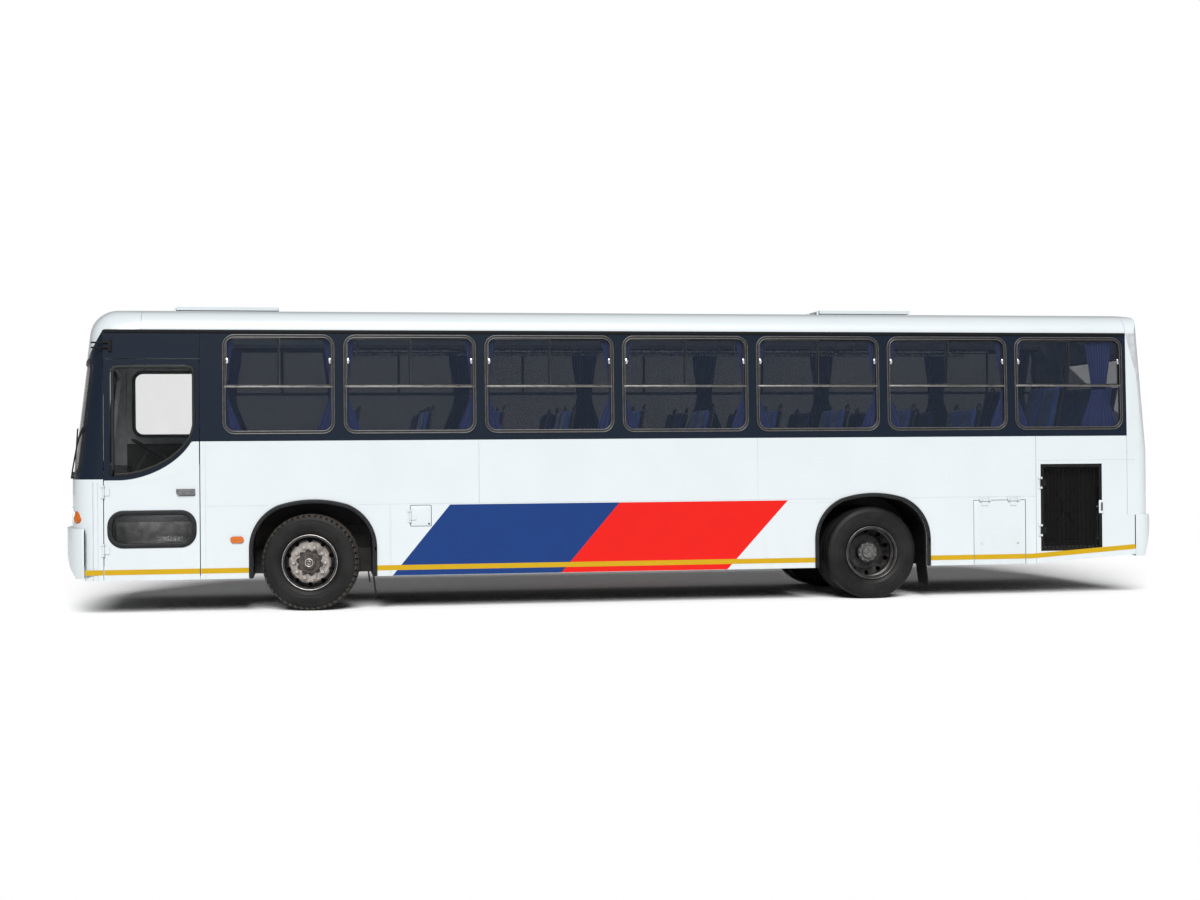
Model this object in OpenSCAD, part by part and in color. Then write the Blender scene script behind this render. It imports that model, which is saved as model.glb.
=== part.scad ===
// Single-deck passenger bus with a one-leaf front door, as separate named pieces.
// X runs from nose to tail, Y to the right-hand side of the bus, Z up.
// The origin is on the road under the middle of the bus.

/* [Body] */
// Length over both bumpers
body_l = 12200; // [12100:50:12600]
// Width across the side panels
body_w = 2500; // [2460:10:2550]
// Height of the roof crown above the road
body_h = 3260; // [3230:10:3340]
// Rise of the roof crown over its gutter
roof_rise = 275; // [265:5:285]
// Height of the waist line under the windows
waist_z = 1810; // [1790:5:1830]
// Height of the lower edge of the skirt
skirt_z = 360; // [345:5:390]
// Thickness of walls, roof and end walls
wall_t = 50; // [42:1:56]
// How far the wall leans in between waist and gutter
tumble = 30; // [15:1:40]
// Height of the passenger floor above the road
floor_z = 1000; // [985:5:1010]

/* [Front end] */
// Nose of the body behind the face of the bumper
nose_s = 58; // [50:1:70]
// Radius of the bulge of the nose in plan
nose_r = 4500; // [4000:100:6000]
// Radius of the front corners in plan
corner_r = 300; // [280:10:310]
// Rake of the windscreen in degrees
rake = 7.1; // [6:0.1:8]
// Height of the base of the windscreen surround
screen_base_z = 1420; // [1400:5:1440]
// Top of the windscreen surround under the gutter
screen_head = 285; // [275:5:300]

/* [Passenger door] */
// Front edge of the door behind the bumper face
door_front_s = 495; // [490:1:505]
// Width of the door leaf
door_w = 973; // [940:1:980]
// Top edge of the door leaf under the gutter
door_head = 310; // [300:5:330]
// Gap around the door leaf
door_gap = 9; // [8:0.5:11]

/* [Windows] */
// Front edge of the window row behind the bumper face
window_row_s = 1707; // [1700:1:1715]
// Width of the first window
first_window_w = 1178; // [1150:1:1185]
// Width of each middle window
mid_window_w = 1422; // [1410:1:1425]
// Width of the last window
last_window_w = 1308; // [1280:1:1312]
// Post between two windows
window_post_w = 88; // [84:1:92]
// Height of the lower edge of the window frames
window_z = 1881; // [1870:1:1890]
// Band between the window frames and the gutter
window_head = 42; // [38:1:50]
// Height of the divider bar as a share of the frame's height
divider_share = 0.4746; // [0.45:0.001:0.5]
// Corner radius of the window frames
window_r = 130; // [100:5:140]

/* [Wheels and axles] */
// Rear axle ahead of the face of the rear bumper
rear_overhang = 3370; // [3340:5:3400]
// Front axle behind the face of the front bumper
front_overhang = 2645; // [2630:5:2660]
// Outer diameter of a tyre
tyre_d = 1030; // [1020:2:1040]
// Section width of a tyre
tyre_w = 280; // [270:2:284]
// Outer diameter of the rim flange
rim_d = 596; // [590:2:600]
// Middle of a front tyre from the centre line
front_tyre_y = 1090; // [1085:1:1094]
// Kingpin from the centre line
kingpin_y = 930; // [926:1:934]
// Middle of an outer rear tyre from the centre line
rear_tyre_y = 1085; // [1078:1:1090]
// Distance between the middles of twin tyres
twin_pitch = 325; // [320:1:330]
// Wheel nuts on each wheel
nut_count = 10; // [8:1:10]
// Front wheels turned to the right as parked, in degrees
steer_rest = 8; // [0:1:12]
// Length of each steering arm
arm_l = 200; // [190:2:215]

/* [Wheel arches] */
// Half the width of an arch over its trim
arch_half_w = 672; // [668:1:680]
// Height of the top of an arch over its trim
arch_top_z = 1188; // [1180:2:1200]
// Width of the rubber trim around an arch
trim_w = 44; // [36:1:48]

/* [Side flaps] */
// Fuel flap behind the front bumper face
fuel_s = 3677; // [3660:1:3690]
// Side of the square fuel flap
fuel_w = 218; // [190:1:225]
// Service flap behind the rear axle
service_s = 1192; // [1170:1:1210]
// Width of the service flap
service_w = 611; // [580:1:620]
// Front edge of the radiator door ahead of the rear bumper face
radiator_s = 1373; // [1360:1:1380]
// Width of the radiator door
radiator_w = 730; // [700:1:740]
// Height of the radiator door
radiator_h = 979; // [950:1:990]

/* [Cabin] */
// Distance between seat rows
seat_pitch = 780; // [740:5:785]
// Width of a double seat
seat_w = 850; // [800:5:870]

/* [Hidden] */
$fn = 48;
wide_fn = 720;
ball_fn = 32;
LEFT = -1;
RIGHT = 1;
SIDES = [LEFT, RIGHT];
ENDS = [-1, 1];

// Colours
white = [0.93, 0.93, 0.91];
black = [0.03, 0.03, 0.045];
dark = [0.10, 0.10, 0.11];
tint = [0.20, 0.22, 0.22, 0.6];
steel = [0.45, 0.45, 0.46];
amber = [0.95, 0.50, 0.05];
red = [0.70, 0.05, 0.05];
clear = [0.85, 0.88, 0.90];
blue = [0.10, 0.22, 0.55];
grey = [0.30, 0.31, 0.32];
rubber = [0.05, 0.05, 0.05];

// Fits
fit_gap = 0.3;
run_gap = 0.05;
lid_gap = 6;
clear_gap = 5.5;
seam_w = 3;
seam_d = 4;

// Body frame
front_x = -body_l / 2;
back_x = body_l / 2;
half_w = body_w / 2;
gutter_z = body_h - roof_rise;
screen_top_z = gutter_z - screen_head;
door_top_z = gutter_z - door_head;
nose_x = front_x + nose_s;
nose_cx = nose_x + nose_r;
corner_y = half_w - corner_r;
corner_x = nose_cx - sqrt(pow(nose_r - corner_r, 2) - pow(corner_y, 2));
tail_inset = 40;
tail_x = back_x - tail_inset;
tail_r = 160;
tail_lean = 4.6;
tail_kink_z = 1640;
tail_top_r = 130;
cove_r = 200;
cove_y = half_w - tumble - cove_r;
crown_r = (pow(roof_rise, 2) + pow(cove_y, 2) - pow(cove_r, 2)) / (2 * (roof_rise - cove_r));
crown_z = body_h - crown_r;
dome_rear_s = 880;
dome_foot_s = 310;
dome_x = front_x + dome_rear_s;
dome_strips = 4;
sliver = 1;
cap_in = 287;
cap_x = tail_x - cap_in;
cap_low_in = 230;
cap_low_x = back_x - cap_low_in;
seam_z = 1130;
quarter_in = 1433;
quarter_x = back_x - quarter_in;
kink_in = 1491;
kink_x = back_x - kink_in;
kink_rise = 90;
front_axle_x = front_x + front_overhang;
rear_axle_x = back_x - rear_overhang;
waist_seam_s = 4415;
waist_seam_in = 1322;
waist_seam_xs = [front_x + waist_seam_s, rear_axle_x - waist_seam_in];
skirt_seam_s = 3465;
skirt_seam_xs = [front_x + skirt_seam_s];
axle_xs = [front_axle_x, rear_axle_x];
wheel_z = tyre_d / 2;

// Door
door_x = front_x + door_front_s;
door_rear_x = door_x + door_w;
door_t = 42;
front_seam_x = door_x - door_gap;
post_x = door_rear_x + door_gap;
door_split_r = 1750;
door_split_in = 190;
door_split_x = door_x + door_split_in;
door_split_z = 1385;
door_win_edge = 62;
door_win_top = 58;
door_win_r = 90;
door_port_edge = 34;
door_port_z = 700;
door_port_h = 390;
door_port_r = 160;
handle_w = 190;
handle_h = 46;
handle_z = 1250;
handle_proud = 28;
door_hinge_zs = [640, 1250];

// Hinges: barrel on the leaf, pin and lugs on what carries it
hinge_r = 11;
hinge_pin_r = 5;
hinge_h = 80;
hinge_out = hinge_r + clear_gap;
strap_l = 60;
carrier_l = 34;
carrier_seat = 20;
strap_t = 10;
lug_h = 22;
radiator_hinge_zs = [700, 1240];
service_hinge_ins = [88, 428];
fuel_hinge_z = 955;
lid_hinge_ins = [240, 320];
hatch_hinge_ys = [-220, 140];

// Windows
window_pitch = mid_window_w + window_post_w;
window_x0 = front_x + window_row_s;
second_x = window_x0 + first_window_w + window_post_w;
mid_window_count = floor((cap_x - second_x - last_window_w) / window_pitch);
window_cols = mid_window_count + 2;
window_h = gutter_z - window_head - window_z;
divider_h = window_h * divider_share;
frame_w = 40;
frame_proud = 6;
frame_in = 34;
bar_w = 22;
pane_out = 8;
pane_t = 6;
meet_lap = 16;
cab_window_s = 545;
cab_window_x = front_x + cab_window_s;
cab_window_w = 1075;
cab_window_z = window_z;
cab_window_h = door_top_z - cab_window_z;
screen_side = 120;
screen_y = half_w - screen_side;
screen_edge = 46;
screen_r = 120;
screen_out = 6;
screen_t = 8;
rear_glass_side = 350;
rear_glass_y = half_w - rear_glass_side;
rear_glass_over = 150;
rear_glass_z = waist_z + rear_glass_over;
rear_glass_head = 245;
rear_glass_h = gutter_z - rear_glass_head - rear_glass_z;
rear_glass_r = 110;

// Bumpers
bumper_t = 60;
bumper_in_s = 290;
bumper_top_z = 905;
bumper_low_z = 385;
bumper_face_z = 800;
bumper_chin_z = 640;
bumper_top_in = 34;
bumper_chin_in = 30;
bumper_low_in = 200;
tail_low_z = 430;
tail_low_in = 110;

// Lamps
lamp_r = 88;
lamp_z = 1030;
lamp_sides = [610, 400];
lamp_ys = [for (side_gap = lamp_sides) half_w - side_gap];
lamp_in = 40;
lamp_proud = 8;
corner_lamp_side = 160;
corner_lamp_y = half_w - corner_lamp_side;
corner_lamp_r = 58;
marker_s = 1851;
marker_x = front_x + marker_s;
marker_z = 771;
marker_l = 140;
marker_h = 70;
marker_proud = 16;
tail_lamp_r = 78;
tail_lamp_side = 250;
tail_lamp_y = half_w - tail_lamp_side;
tail_lamp_zs = [1110, 1300, 1490];
tail_lamp_proud = 14;
tail_lamp_deep = 30;

// Arches
shoulder_r = 500;
shoulder_drop = 518;
shoulder_z = arch_top_z - shoulder_drop;
shoulder_x = arch_half_w - shoulder_r;
arch_crown_r = 1200;
trim_proud = 22;
housing_t = 8;
housing_y = 532;
flap_t = 10;
flap_w = 330;
flap_l = 270;
flap_lean = 7;

// Chassis
rail_y = 430;
rail_w = 76;
rail_h = 260;
rail_z = 620;
rail_t = 9;
rail_front_s = 420;
rail_back_in = 450;
rail_x0 = front_x + rail_front_s;
rail_x1 = back_x - rail_back_in;
rail_top_z = rail_z + rail_h;
deck_t = 40;
deck_z = floor_z - deck_t;
bearer_w = 80;
bearer_ss = [700, 1560, 3420, 4700];
bearer_rear_ss = [-2830, -1530, -790, 810, 1420];
bearer_xs = concat([for (s = bearer_ss) front_x + s], [for (s = bearer_rear_ss) rear_axle_x + s]);
cross_ss = [1750, 3560, 5000];
cross_rear_ss = [-2330, -930, 670];
cross_xs = concat([for (s = cross_ss) front_x + s], [for (s = cross_rear_ss) rear_axle_x + s]);
cross_h = 160;
tow_r = 22;
tow_t = 30;
tow_w = 90;
tow_out = 95;
pad_in = 930;
pad_x = rear_axle_x - pad_in;
pad_w = 110;
pad_t = 12;

// Axles
beam_w = 90;
beam_h = 88;
beam_z = 395;
beam_half = 760;
beam_end_z = 440;
beam_end_h = 100;
beam_lap = 60;
boss_r = 48;
boss_z0 = 430;
boss_h = 170;
pin_r = 24;
ear_h = 32;
ear_r = 52;
yoke_y = 62;
yoke_t = 34;
yoke_w = 120;
spindle_r = 45;
arm_h = 30;
arm_w = 56;
joint_r = 16;
rod_r = 19;
rod_z = 372;
axle_r = 75;
diff_r = 200;
diff_w = 300;
stub_r = 55;
shaft_r = 52;
spring_half = 740;
spring_sag = 88;
spring_t = 56;
spring_w = 62;
spring_y = rail_y;
spring_rear_out = 70;
spring_rear_y = rail_y + spring_rear_out;
hanger_l = 70;

// Wheels
tyre_bead = 20;
// Shares of half width and of section height along the tyre's side
tyre_shares = [[0.62, 0], [0.76, 0.10], [0.92, 0.26], [1, 0.46], [0.975, 0.72], [0.92, 0.9], [0.72, 1]];
bead_r = rim_d / 2 - tyre_bead;
rim_w = 236;
rim_t = 14;
disc_t = 14;
nut_circle = 167.5;
nut_r = 19;
nut_h = 26;
face_r = 205;
hub_r = 112;
cap_r = 66;
cap_h = 34;
hub_in = 62;
hub_out = 132;
front_face = 112;
front_foot = 36;
rear_foot = -62;
hole_r = 25;
hole_circle = 236;
groove_w = 9;
groove_d = 13;
groove_ys = [-62, -21, 21, 62];
shaft_bolt_r = 10;
shaft_bolt_circle = 88;
shaft_bolt_h = 12;

// Power unit
engine_in = 1680;
engine_x0 = back_x - engine_in;
engine_l = 1280;
engine_half_w = 330;
engine_z = 440;
engine_h = 735;
gearbox_l = 640;
gearbox_half_w = 210;
gearbox_z = 420;
gearbox_h = 400;
foot_l = 120;
foot_h = 90;
radiator_t = 120;
radiator_back = 130;
fan_r = 260;
fan_hub_r = 70;
fan_t = 40;
blade_w = 58;
blade_count = 6;

// Tanks
tank_s = 4300;
tank_l = 1100;
tank_side_gap = 172;
tank_w = half_w - wall_t - rail_y - rail_w / 2 - tank_side_gap;
tank_z = 430;
tank_h = 430;
tank_r = 70;
air_r = 130;
air_l = 820;
air_ss = [4200, 5200];
air_z = 690;
muffler_r = 150;
muffler_l = 900;
muffler_s = 870;
muffler_z = 640;
pipe_r = 45;
pipe_l = 1150;

// Flaps
service_x = rear_axle_x + service_s;
radiator_x = back_x - radiator_s;
fuel_z = 890;
service_top_z = 1086;
flap_leaf_t = 26;
radiator_z = 508;
radiator_frame_w = 30;
slat_w = 8;
slat_count = 13;
slat_t = 10;
lid_side = 530;
lid_half_w = half_w - lid_side;
lid_z = 960;
lid_h = 560;
louvre_count = 7;
louvre_side = 220;
louvre_w = 2 * (lid_half_w - louvre_side);
louvre_h = 22;
hatch_s = 1180;
hatch_rear_in = 330;
hatch_xs = [front_x + hatch_s, rear_axle_x - hatch_rear_in];
hatch_l = 1100;
hatch_w = 700;
hatch_lip = 45;
hatch_t = 24;
coaming_h = 24;
hatch_hinge_h = 25;

// Cabin
seat_first_s = 2950;
seat_wall_gap = 80;
seat_y0 = half_w - wall_t - seat_w - seat_wall_gap;
seat_z = 340;
cushion_l = 440;
cushion_h = 110;
back_h = 690;
back_t = 88;
back_lean = 12;
shell_t = 20;
leg_w = 60;
leg_l = 240;
leg_in = 60;
rest_gap = 6;
platform_in = 1750;
platform_x = back_x - platform_in;
platform_rise = 252;
seat_rows = floor((platform_x - front_x - seat_first_s) / seat_pitch) + 1;
high_row_in = 1220;
bench_in = 560;
bench_side = 160;
bench_half_w = half_w - bench_side;
bench_leg_side = 450;
bench_leg_half_w = half_w - bench_leg_side;
cover_t = 20;
cover_w = 300;
cover_over = 70;
stair_side = 690;
stair_top_y = half_w - stair_side;
stair_run = 300;
stair_rise = 285;
stair_t = 36;
dash_s = 230;
dash_l = 330;
dash_door_gap = 830;
dash_y0 = -half_w + dash_door_gap;
dash_side = 160;
dash_y1 = half_w - dash_side;
dash_h = 414;
cowl_side = 530;
cowl_y = half_w - cowl_side;
cowl_w = 520;
cowl_h = 146;
column_r = 34;
column_lean = 32;
wheel_ring_r = 225;
wheel_ring_t = 17;
wheel_hub_r = 52;
wheel_hub_h = 30;
spoke_w = 34;
spoke_t = 12;
column_s = 560;
column_z = 1360;
column_l = 420;
cab_seat_s = 1500;
cab_seat_w = 500;
cab_seat_rise = 120;
pole_r = 16;
pole_s = 1520;
rail_bar_h = 22;
rail_bar_t = 26;
rail_bar_drop = 73;
rail_bar_z = gutter_z - rail_bar_drop;
curtain_t = 26;
curtain_low_z = 1850;
curtain_tie_share = 0.452;
curtain_tie_z = curtain_low_z + (rail_bar_z - curtain_low_z) * curtain_tie_share;
curtain_top_w = 330;
curtain_tie_w = 190;
curtain_low_w = 520;

// Mirrors and wipers
mirror_w = 210;
mirror_h = 330;
mirror_t = 80;
mirror_r = 30;
mirror_s = 215;
mirror_x = front_x + mirror_s;
mirror_side = 85;
mirror_y = half_w - mirror_side;
mirror_drop = 585;
mirror_z = gutter_z - mirror_drop;
mirror_arm_r = 15;
mirror_arm_drop = 185;
mirror_arm_z = gutter_z - mirror_arm_drop;
mirror_foot_s = 455;
mirror_foot_x = front_x + mirror_foot_s;
bracket_s = 560;
bracket_x = front_x + bracket_s;
bracket_w = 34;
bracket_h = 126;
bracket_t = 26;
bracket_drop = 162;
prong_l = 190;
prong_gap = 52;
prong_r = 9;
wiper_side = 490;
wiper_mid = 60;
wiper_ys = [-half_w + wiper_side, wiper_mid];
wiper_l = 640;
wiper_w = 26;
wiper_lean = 38;
wiper_out = 26;
wiper_t = 14;
wiper_foot_r = 24;
wiper_foot_z = 1450;

// Wall face at a height, at the right-hand side
function wall_y(z) = half_w - tumble * max(0, (z - waist_z) / (gutter_z - waist_z));
// Half width of the nose arc and of the crown arc where each meets its corner arc
function nose_half(t) = corner_y + (corner_r - t) * corner_y / (nose_r - corner_r);
function crown_half(t) = cove_y * (crown_r - t) / (crown_r - cove_r);
// Front edge and width of window number i
function window_x(i) = i == 0 ? window_x0 : second_x + (i - 1) * window_pitch;
function window_w(i) = i == 0 ? first_window_w : i < window_cols - 1 ? mid_window_w : last_window_w;
// Height of the skirt's lower edge, which rises behind the kink
function skirt_low(x) = x < kink_x ? skirt_z : skirt_z + kink_rise * (x - kink_x) / (cap_low_x - kink_x);
// Middle of the post ahead of window i
function post_mid(i) = i < window_cols ? window_x(i) - window_post_w / 2
  : window_x(i - 1) + window_w(i - 1) - curtain_low_w / 2;
// Shift of the raked front at a height
function rake_shift(z) = (z - screen_base_z) * tan(rake);

// Extrusion of a Y-Z outline along X, of an X-Z outline along Y, of a plan along Z
module along_x(x0, x1) {
  translate([x0, 0, 0]) rotate([90, 0, 90]) linear_extrude(x1 - x0) children();
}

module along_y(y0, y1) {
  translate([0, y1, 0]) rotate([90, 0, 0]) linear_extrude(y1 - y0) children();
}

module along_z(z0, z1) {
  translate([0, 0, z0]) linear_extrude(z1 - z0) children();
}

module block(x0, x1, y0, y1, z0, z1) {
  translate([x0, y0, z0]) cube([x1 - x0, y1 - y0, z1 - z0]);
}

module rect(x0, x1, z0, z1) {
  translate([x0, z0]) square([x1 - x0, z1 - z0]);
}

module round_rect(x0, x1, z0, z1, r) {
  rect(x0 + r, x1 - r, z0, z1);
  rect(x0, x1, z0 + r, z1 - r);
  for (x = [x0 + r, x1 - r])
    for (z = [z0 + r, z1 - r])
      translate([x, z]) circle(r);
}

module on_side(side) {
  if (side == RIGHT) children();
  else mirror([0, 1, 0]) children();
}

module both_sides() {
  for (side = SIDES) on_side(side) children();
}

// Band of the side wall between two depths, cut to an X-Z outline
module wall_piece(deep0, deep1, z0, z1) {
  mids = z0 < waist_z && z1 > waist_z;
  outer = mids ? [[half_w - deep0, waist_z]] : [];
  inner = mids ? [[half_w - deep1, waist_z]] : [];
  intersection() {
    along_x(front_x, back_x) polygon(concat(
      [[wall_y(z0) - deep1, z0], [wall_y(z0) - deep0, z0]], outer,
      [[wall_y(z1) - deep0, z1], [wall_y(z1) - deep1, z1]], inner));
    along_y(0, body_w) children();
  }
}

// Plan of the front end at an inset from its outer face
module front_plan(t) {
  intersection() {
    translate([nose_cx, 0]) circle(nose_r - t, $fn = wide_fn);
    translate([nose_x - bumper_t - nose_s, -nose_half(t)])
      square([corner_x - nose_x + bumper_t + nose_s + sliver, 2 * nose_half(t)]);
  }
  for (side = SIDES)
    translate([corner_x, side * corner_y]) circle(corner_r - t);
  translate([corner_x, -half_w + t]) square([dome_rear_s, 2 * (half_w - t)]);
}

module raked() {
  translate([nose_x, 0, screen_base_z]) rotate([0, rake, 0])
    translate([-nose_x, 0, -screen_base_z]) children();
}

// Skin of the front end between two insets, upright or raked
module front_skin(t0, t1, z0, z1) {
  along_z(z0, z1) difference() {
    front_plan(t0);
    front_plan(t1);
  }
}

// Raked skin cut to an outline seen from the front
module screen_piece(t0, t1) {
  intersection() {
    raked() front_skin(t0, t1, skirt_z, body_h);
    along_x(front_x - wall_t, corner_x) children();
  }
}

// Roof outline above the gutter at an inset
module roof_section(t) {
  intersection() {
    union() {
      intersection() {
        translate([0, crown_z]) circle(crown_r - t, $fn = wide_fn);
        translate([-crown_half(t), gutter_z - cove_r])
          square([2 * crown_half(t), roof_rise + cove_r]);
      }
      for (side = SIDES)
        translate([side * cove_y, gutter_z]) circle(cove_r - t);
    }
    translate([-half_w, gutter_z]) square([body_w, roof_rise]);
  }
}

// Whole outline from skirt to roof at an inset
module body_section(t) {
  roof_section(t);
  polygon([[-half_w + t, skirt_z], [half_w - t, skirt_z], [half_w - t, waist_z],
    [half_w - tumble - t, gutter_z], [-half_w + tumble + t, gutter_z], [-half_w + t, waist_z]]);
}

// Outline of a wheel arch, grown outward from the outer edge of its trim
module arch_outline(axle_x, grow) {
  half = arch_half_w + grow;
  crown_half = shoulder_x + shoulder_r / 4;
  intersection() {
    translate([axle_x, arch_top_z - arch_crown_r]) circle(arch_crown_r + grow, $fn = wide_fn);
    union() {
      rect(axle_x - half, axle_x + half, 0, shoulder_z);
      rect(axle_x - crown_half, axle_x + crown_half, 0, body_h);
      for (end = ENDS)
        translate([axle_x + end * shoulder_x, shoulder_z]) circle(shoulder_r + grow, $fn = wide_fn);
    }
  }
}

module arches(grow) {
  for (x = axle_xs) arch_outline(x, grow);
}

// Skirt region with the rising lower edge at the tail
module skirt_region(x0, x1, top) {
  ends = x0 < kink_x && x1 > kink_x ? [[kink_x, skirt_z]] : [];
  polygon(concat([[x0, top], [x0, skirt_low(x0)]], ends, [[x1, skirt_low(x1)], [x1, top]]));
}

// Shallow upright seams in the outer face of a panel
module seams(xs, z0, z1) {
  for (x = xs) block(x, x + seam_w, half_w - seam_d, body_w, z0, z1);
}

// Skirt panels under the horizontal seam, ahead of, between and behind the arches
module skirt_outline(side) {
  difference() {
    skirt_region(side == LEFT ? post_x : front_seam_x + seam_w, quarter_x - seam_w, seam_z - fit_gap);
    arches(-trim_w);
    if (side == LEFT) {
      rect(service_x - lid_gap, service_x + service_w + lid_gap,
        skirt_z - wall_t, service_top_z + lid_gap);
      round_rect(front_x + fuel_s - lid_gap, front_x + fuel_s + fuel_w + lid_gap,
        fuel_z - lid_gap, fuel_z + fuel_w + lid_gap, lid_gap * 2);
    }
  }
}

module side_skirts() {
  color(white) for (side = SIDES) on_side(side) difference() {
    union() {
      wall_piece(0, wall_t, skirt_z, seam_z) skirt_outline(side);
      if (side == LEFT) {
        fuel_hinge() hinge_carrier();
        service_hinges() hinge_carrier();
      }
    }
    seams(skirt_seam_xs, skirt_z, seam_z);
  }
}

// Waist panels over the skirts and the quarter panels at the tail
module side_waists() {
  color(white) for (side = SIDES) on_side(side) {
    difference() {
      wall_piece(0, wall_t, seam_z, waist_z) difference() {
        rect(side == LEFT ? post_x : front_seam_x + seam_w, quarter_x - seam_w, seam_z, waist_z);
        arches(-trim_w);
      }
      seams(waist_seam_xs, seam_z, waist_z);
    }
    wall_piece(0, wall_t, skirt_z, waist_z) difference() {
      union() {
        skirt_region(quarter_x, cap_x - seam_w, waist_z);
        skirt_region(quarter_x, cap_low_x, bumper_top_z);
      }
      if (side == LEFT)
        rect(radiator_x - lid_gap, radiator_x + radiator_w + lid_gap,
          radiator_z - lid_gap, radiator_z + radiator_h + lid_gap);
    }
    if (side == LEFT) radiator_hinges() hinge_carrier();
  }
}

// Outer outline of every window on one side
module window_holes(grow) {
  for (i = [0:window_cols - 1])
    round_rect(window_x(i) - grow, window_x(i) + window_w(i) + grow,
      window_z - grow, window_z + window_h + grow, window_r + grow);
}

module cab_hole(grow) {
  round_rect(cab_window_x - grow, cab_window_x + cab_window_w + grow,
    cab_window_z - grow, cab_window_z + cab_window_h + grow, window_r + grow);
}

module window_walls() {
  color(black) {
    for (side = SIDES) on_side(side)
      wall_piece(0, wall_t, waist_z, gutter_z) difference() {
        rect(side == LEFT ? post_x : front_seam_x + seam_w, cap_x - seam_w, waist_z, gutter_z);
        window_holes(0);
        if (side == RIGHT) cab_hole(0);
      }
    on_side(LEFT) wall_piece(0, wall_t, waist_z, gutter_z)
      rect(front_seam_x + seam_w, post_x - seam_w, door_top_z + door_gap, gutter_z);
  }
}

module hatch_rect(i, grow) {
  translate([hatch_xs[i] - grow, -hatch_w / 2 - grow])
    square([hatch_l + 2 * grow, hatch_w + 2 * grow]);
}

// Roof sheet with a raised lip around each hatch opening
module roof_panel() {
  color(white) difference() {
    union() {
      along_x(dome_x, cap_x - seam_w) difference() {
        roof_section(0);
        roof_section(wall_t);
      }
      for (i = [0, 1]) along_z(body_h - wall_t, body_h + coaming_h) hatch_rect(i, -hatch_lip);
    }
    for (i = [0, 1]) along_z(gutter_z, body_h + body_h) hatch_rect(i, -2 * hatch_lip);
  }
  color(white) for (i = [0, 1]) hatch_hinges(i) hatch_carrier();
}

// Centre of a rounding ball of the dome, from the middle of its strip
function ball_y(i) = (i / dome_strips * 2 - 1) * (half_w - tumble - corner_r);
function ball_z(y) = crown_z + sqrt(pow(crown_r - corner_r, 2) - pow(y, 2));
function ball_x(y) = nose_cx - sqrt(pow(nose_r - corner_r, 2) - pow(y, 2)) + rake_shift(ball_z(y));

module dome_ball(i, t) {
  y = ball_y(i);
  translate([ball_x(y), y, ball_z(y)]) sphere(corner_r - t, $fn = ball_fn);
}

// Solid of the front dome at an inset, in strips across the bus
module dome_solid(t) {
  for (i = [0:dome_strips - 1]) hull() {
    dome_ball(i, t);
    dome_ball(i + 1, t);
    along_x(dome_x - sliver, dome_x) intersection() {
      body_section(t);
      translate([-half_w, screen_top_z]) square([body_w, body_h]);
    }
    along_z(screen_top_z, screen_top_z + sliver) intersection() {
      translate([rake_shift(screen_top_z), 0]) front_plan(t);
      translate([nose_x, -wall_y(screen_top_z) + t])
        square([dome_x - nose_x, 2 * (wall_y(screen_top_z) - t)]);
    }
  }
}

// Side outline of the dome: it comes down to the screen ahead of a slanted edge
module dome_outline() {
  polygon([[front_x, screen_top_z], [front_x + dome_foot_s, screen_top_z], [front_seam_x, gutter_z],
    [dome_x - seam_w, gutter_z], [dome_x - seam_w, body_h + wall_t], [front_x, body_h + wall_t]]);
}

module front_dome() {
  color(white) intersection() {
    difference() {
      dome_solid(0);
      dome_solid(wall_t);
    }
    along_y(-body_w, body_w) dome_outline();
  }
}

// White lower front with the corners, over and beside the bumper
module front_fascia() {
  color(white) difference() {
    intersection() {
      front_skin(0, wall_t, skirt_z, screen_base_z);
      along_y(-body_w, body_w) union() {
        rect(front_x, front_seam_x, bumper_top_z, screen_base_z);
        rect(front_x + bumper_in_s + seam_w, front_seam_x, skirt_z, screen_base_z);
      }
    }
    along_x(front_x - wall_t, corner_x) lamp_holes(0);
  }
  color(white) on_side(LEFT) door_hinges() hinge_carrier();
}

module lamp_holes(grow) {
  for (side = SIDES) {
    for (y = lamp_ys) translate([side * y, lamp_z]) circle(lamp_r + grow);
    translate([side * corner_lamp_y, lamp_z]) circle(corner_lamp_r + grow);
  }
}

// Black surround of the windscreen with both front posts
module screen_surround() {
  color(black) difference() {
    intersection() {
      raked() front_skin(0, wall_t, skirt_z, body_h);
      along_y(-body_w, body_w) polygon([[front_x, screen_base_z], [front_seam_x, screen_base_z],
        [front_seam_x, gutter_z - fit_gap], [front_x + dome_foot_s, screen_top_z - fit_gap],
        [front_x, screen_top_z - fit_gap]]);
    }
    along_x(front_x - wall_t, corner_x) screen_outline(0);
  }
}

module screen_outline(grow) {
  round_rect(-screen_y - grow, screen_y + grow, screen_base_z + screen_edge - grow,
    screen_top_z - screen_edge / 2 + grow, screen_r + grow);
}

module windscreen() {
  color(tint) screen_piece(screen_out, screen_out + screen_t) screen_outline(-fit_gap);
}

// Solid of the tail at an inset
module tail_plan(t) {
  translate([dome_x, -half_w + t]) square([tail_x - tail_r - dome_x, 2 * (half_w - t)]);
  translate([dome_x, -half_w + tail_r]) square([tail_x - t - dome_x, 2 * (half_w - tail_r)]);
  for (side = SIDES)
    translate([tail_x - tail_r, side * (half_w - tail_r)]) circle(tail_r - t);
}

module tail_tilt() {
  translate([tail_x, 0, tail_kink_z]) rotate([0, -tail_lean, 0])
    translate([-tail_x, 0, -tail_kink_z]) children();
}

module tail_top_cut(t) {
  lean_x = (body_h - tail_kink_z) * tan(tail_lean);
  cx = tail_x - lean_x - tail_top_r;
  cz = body_h - tail_top_r;
  difference() {
    rect(cx, tail_x + wall_t, cz, body_h + wall_t);
    translate([cx, cz]) circle(tail_top_r - t);
  }
}

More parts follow.
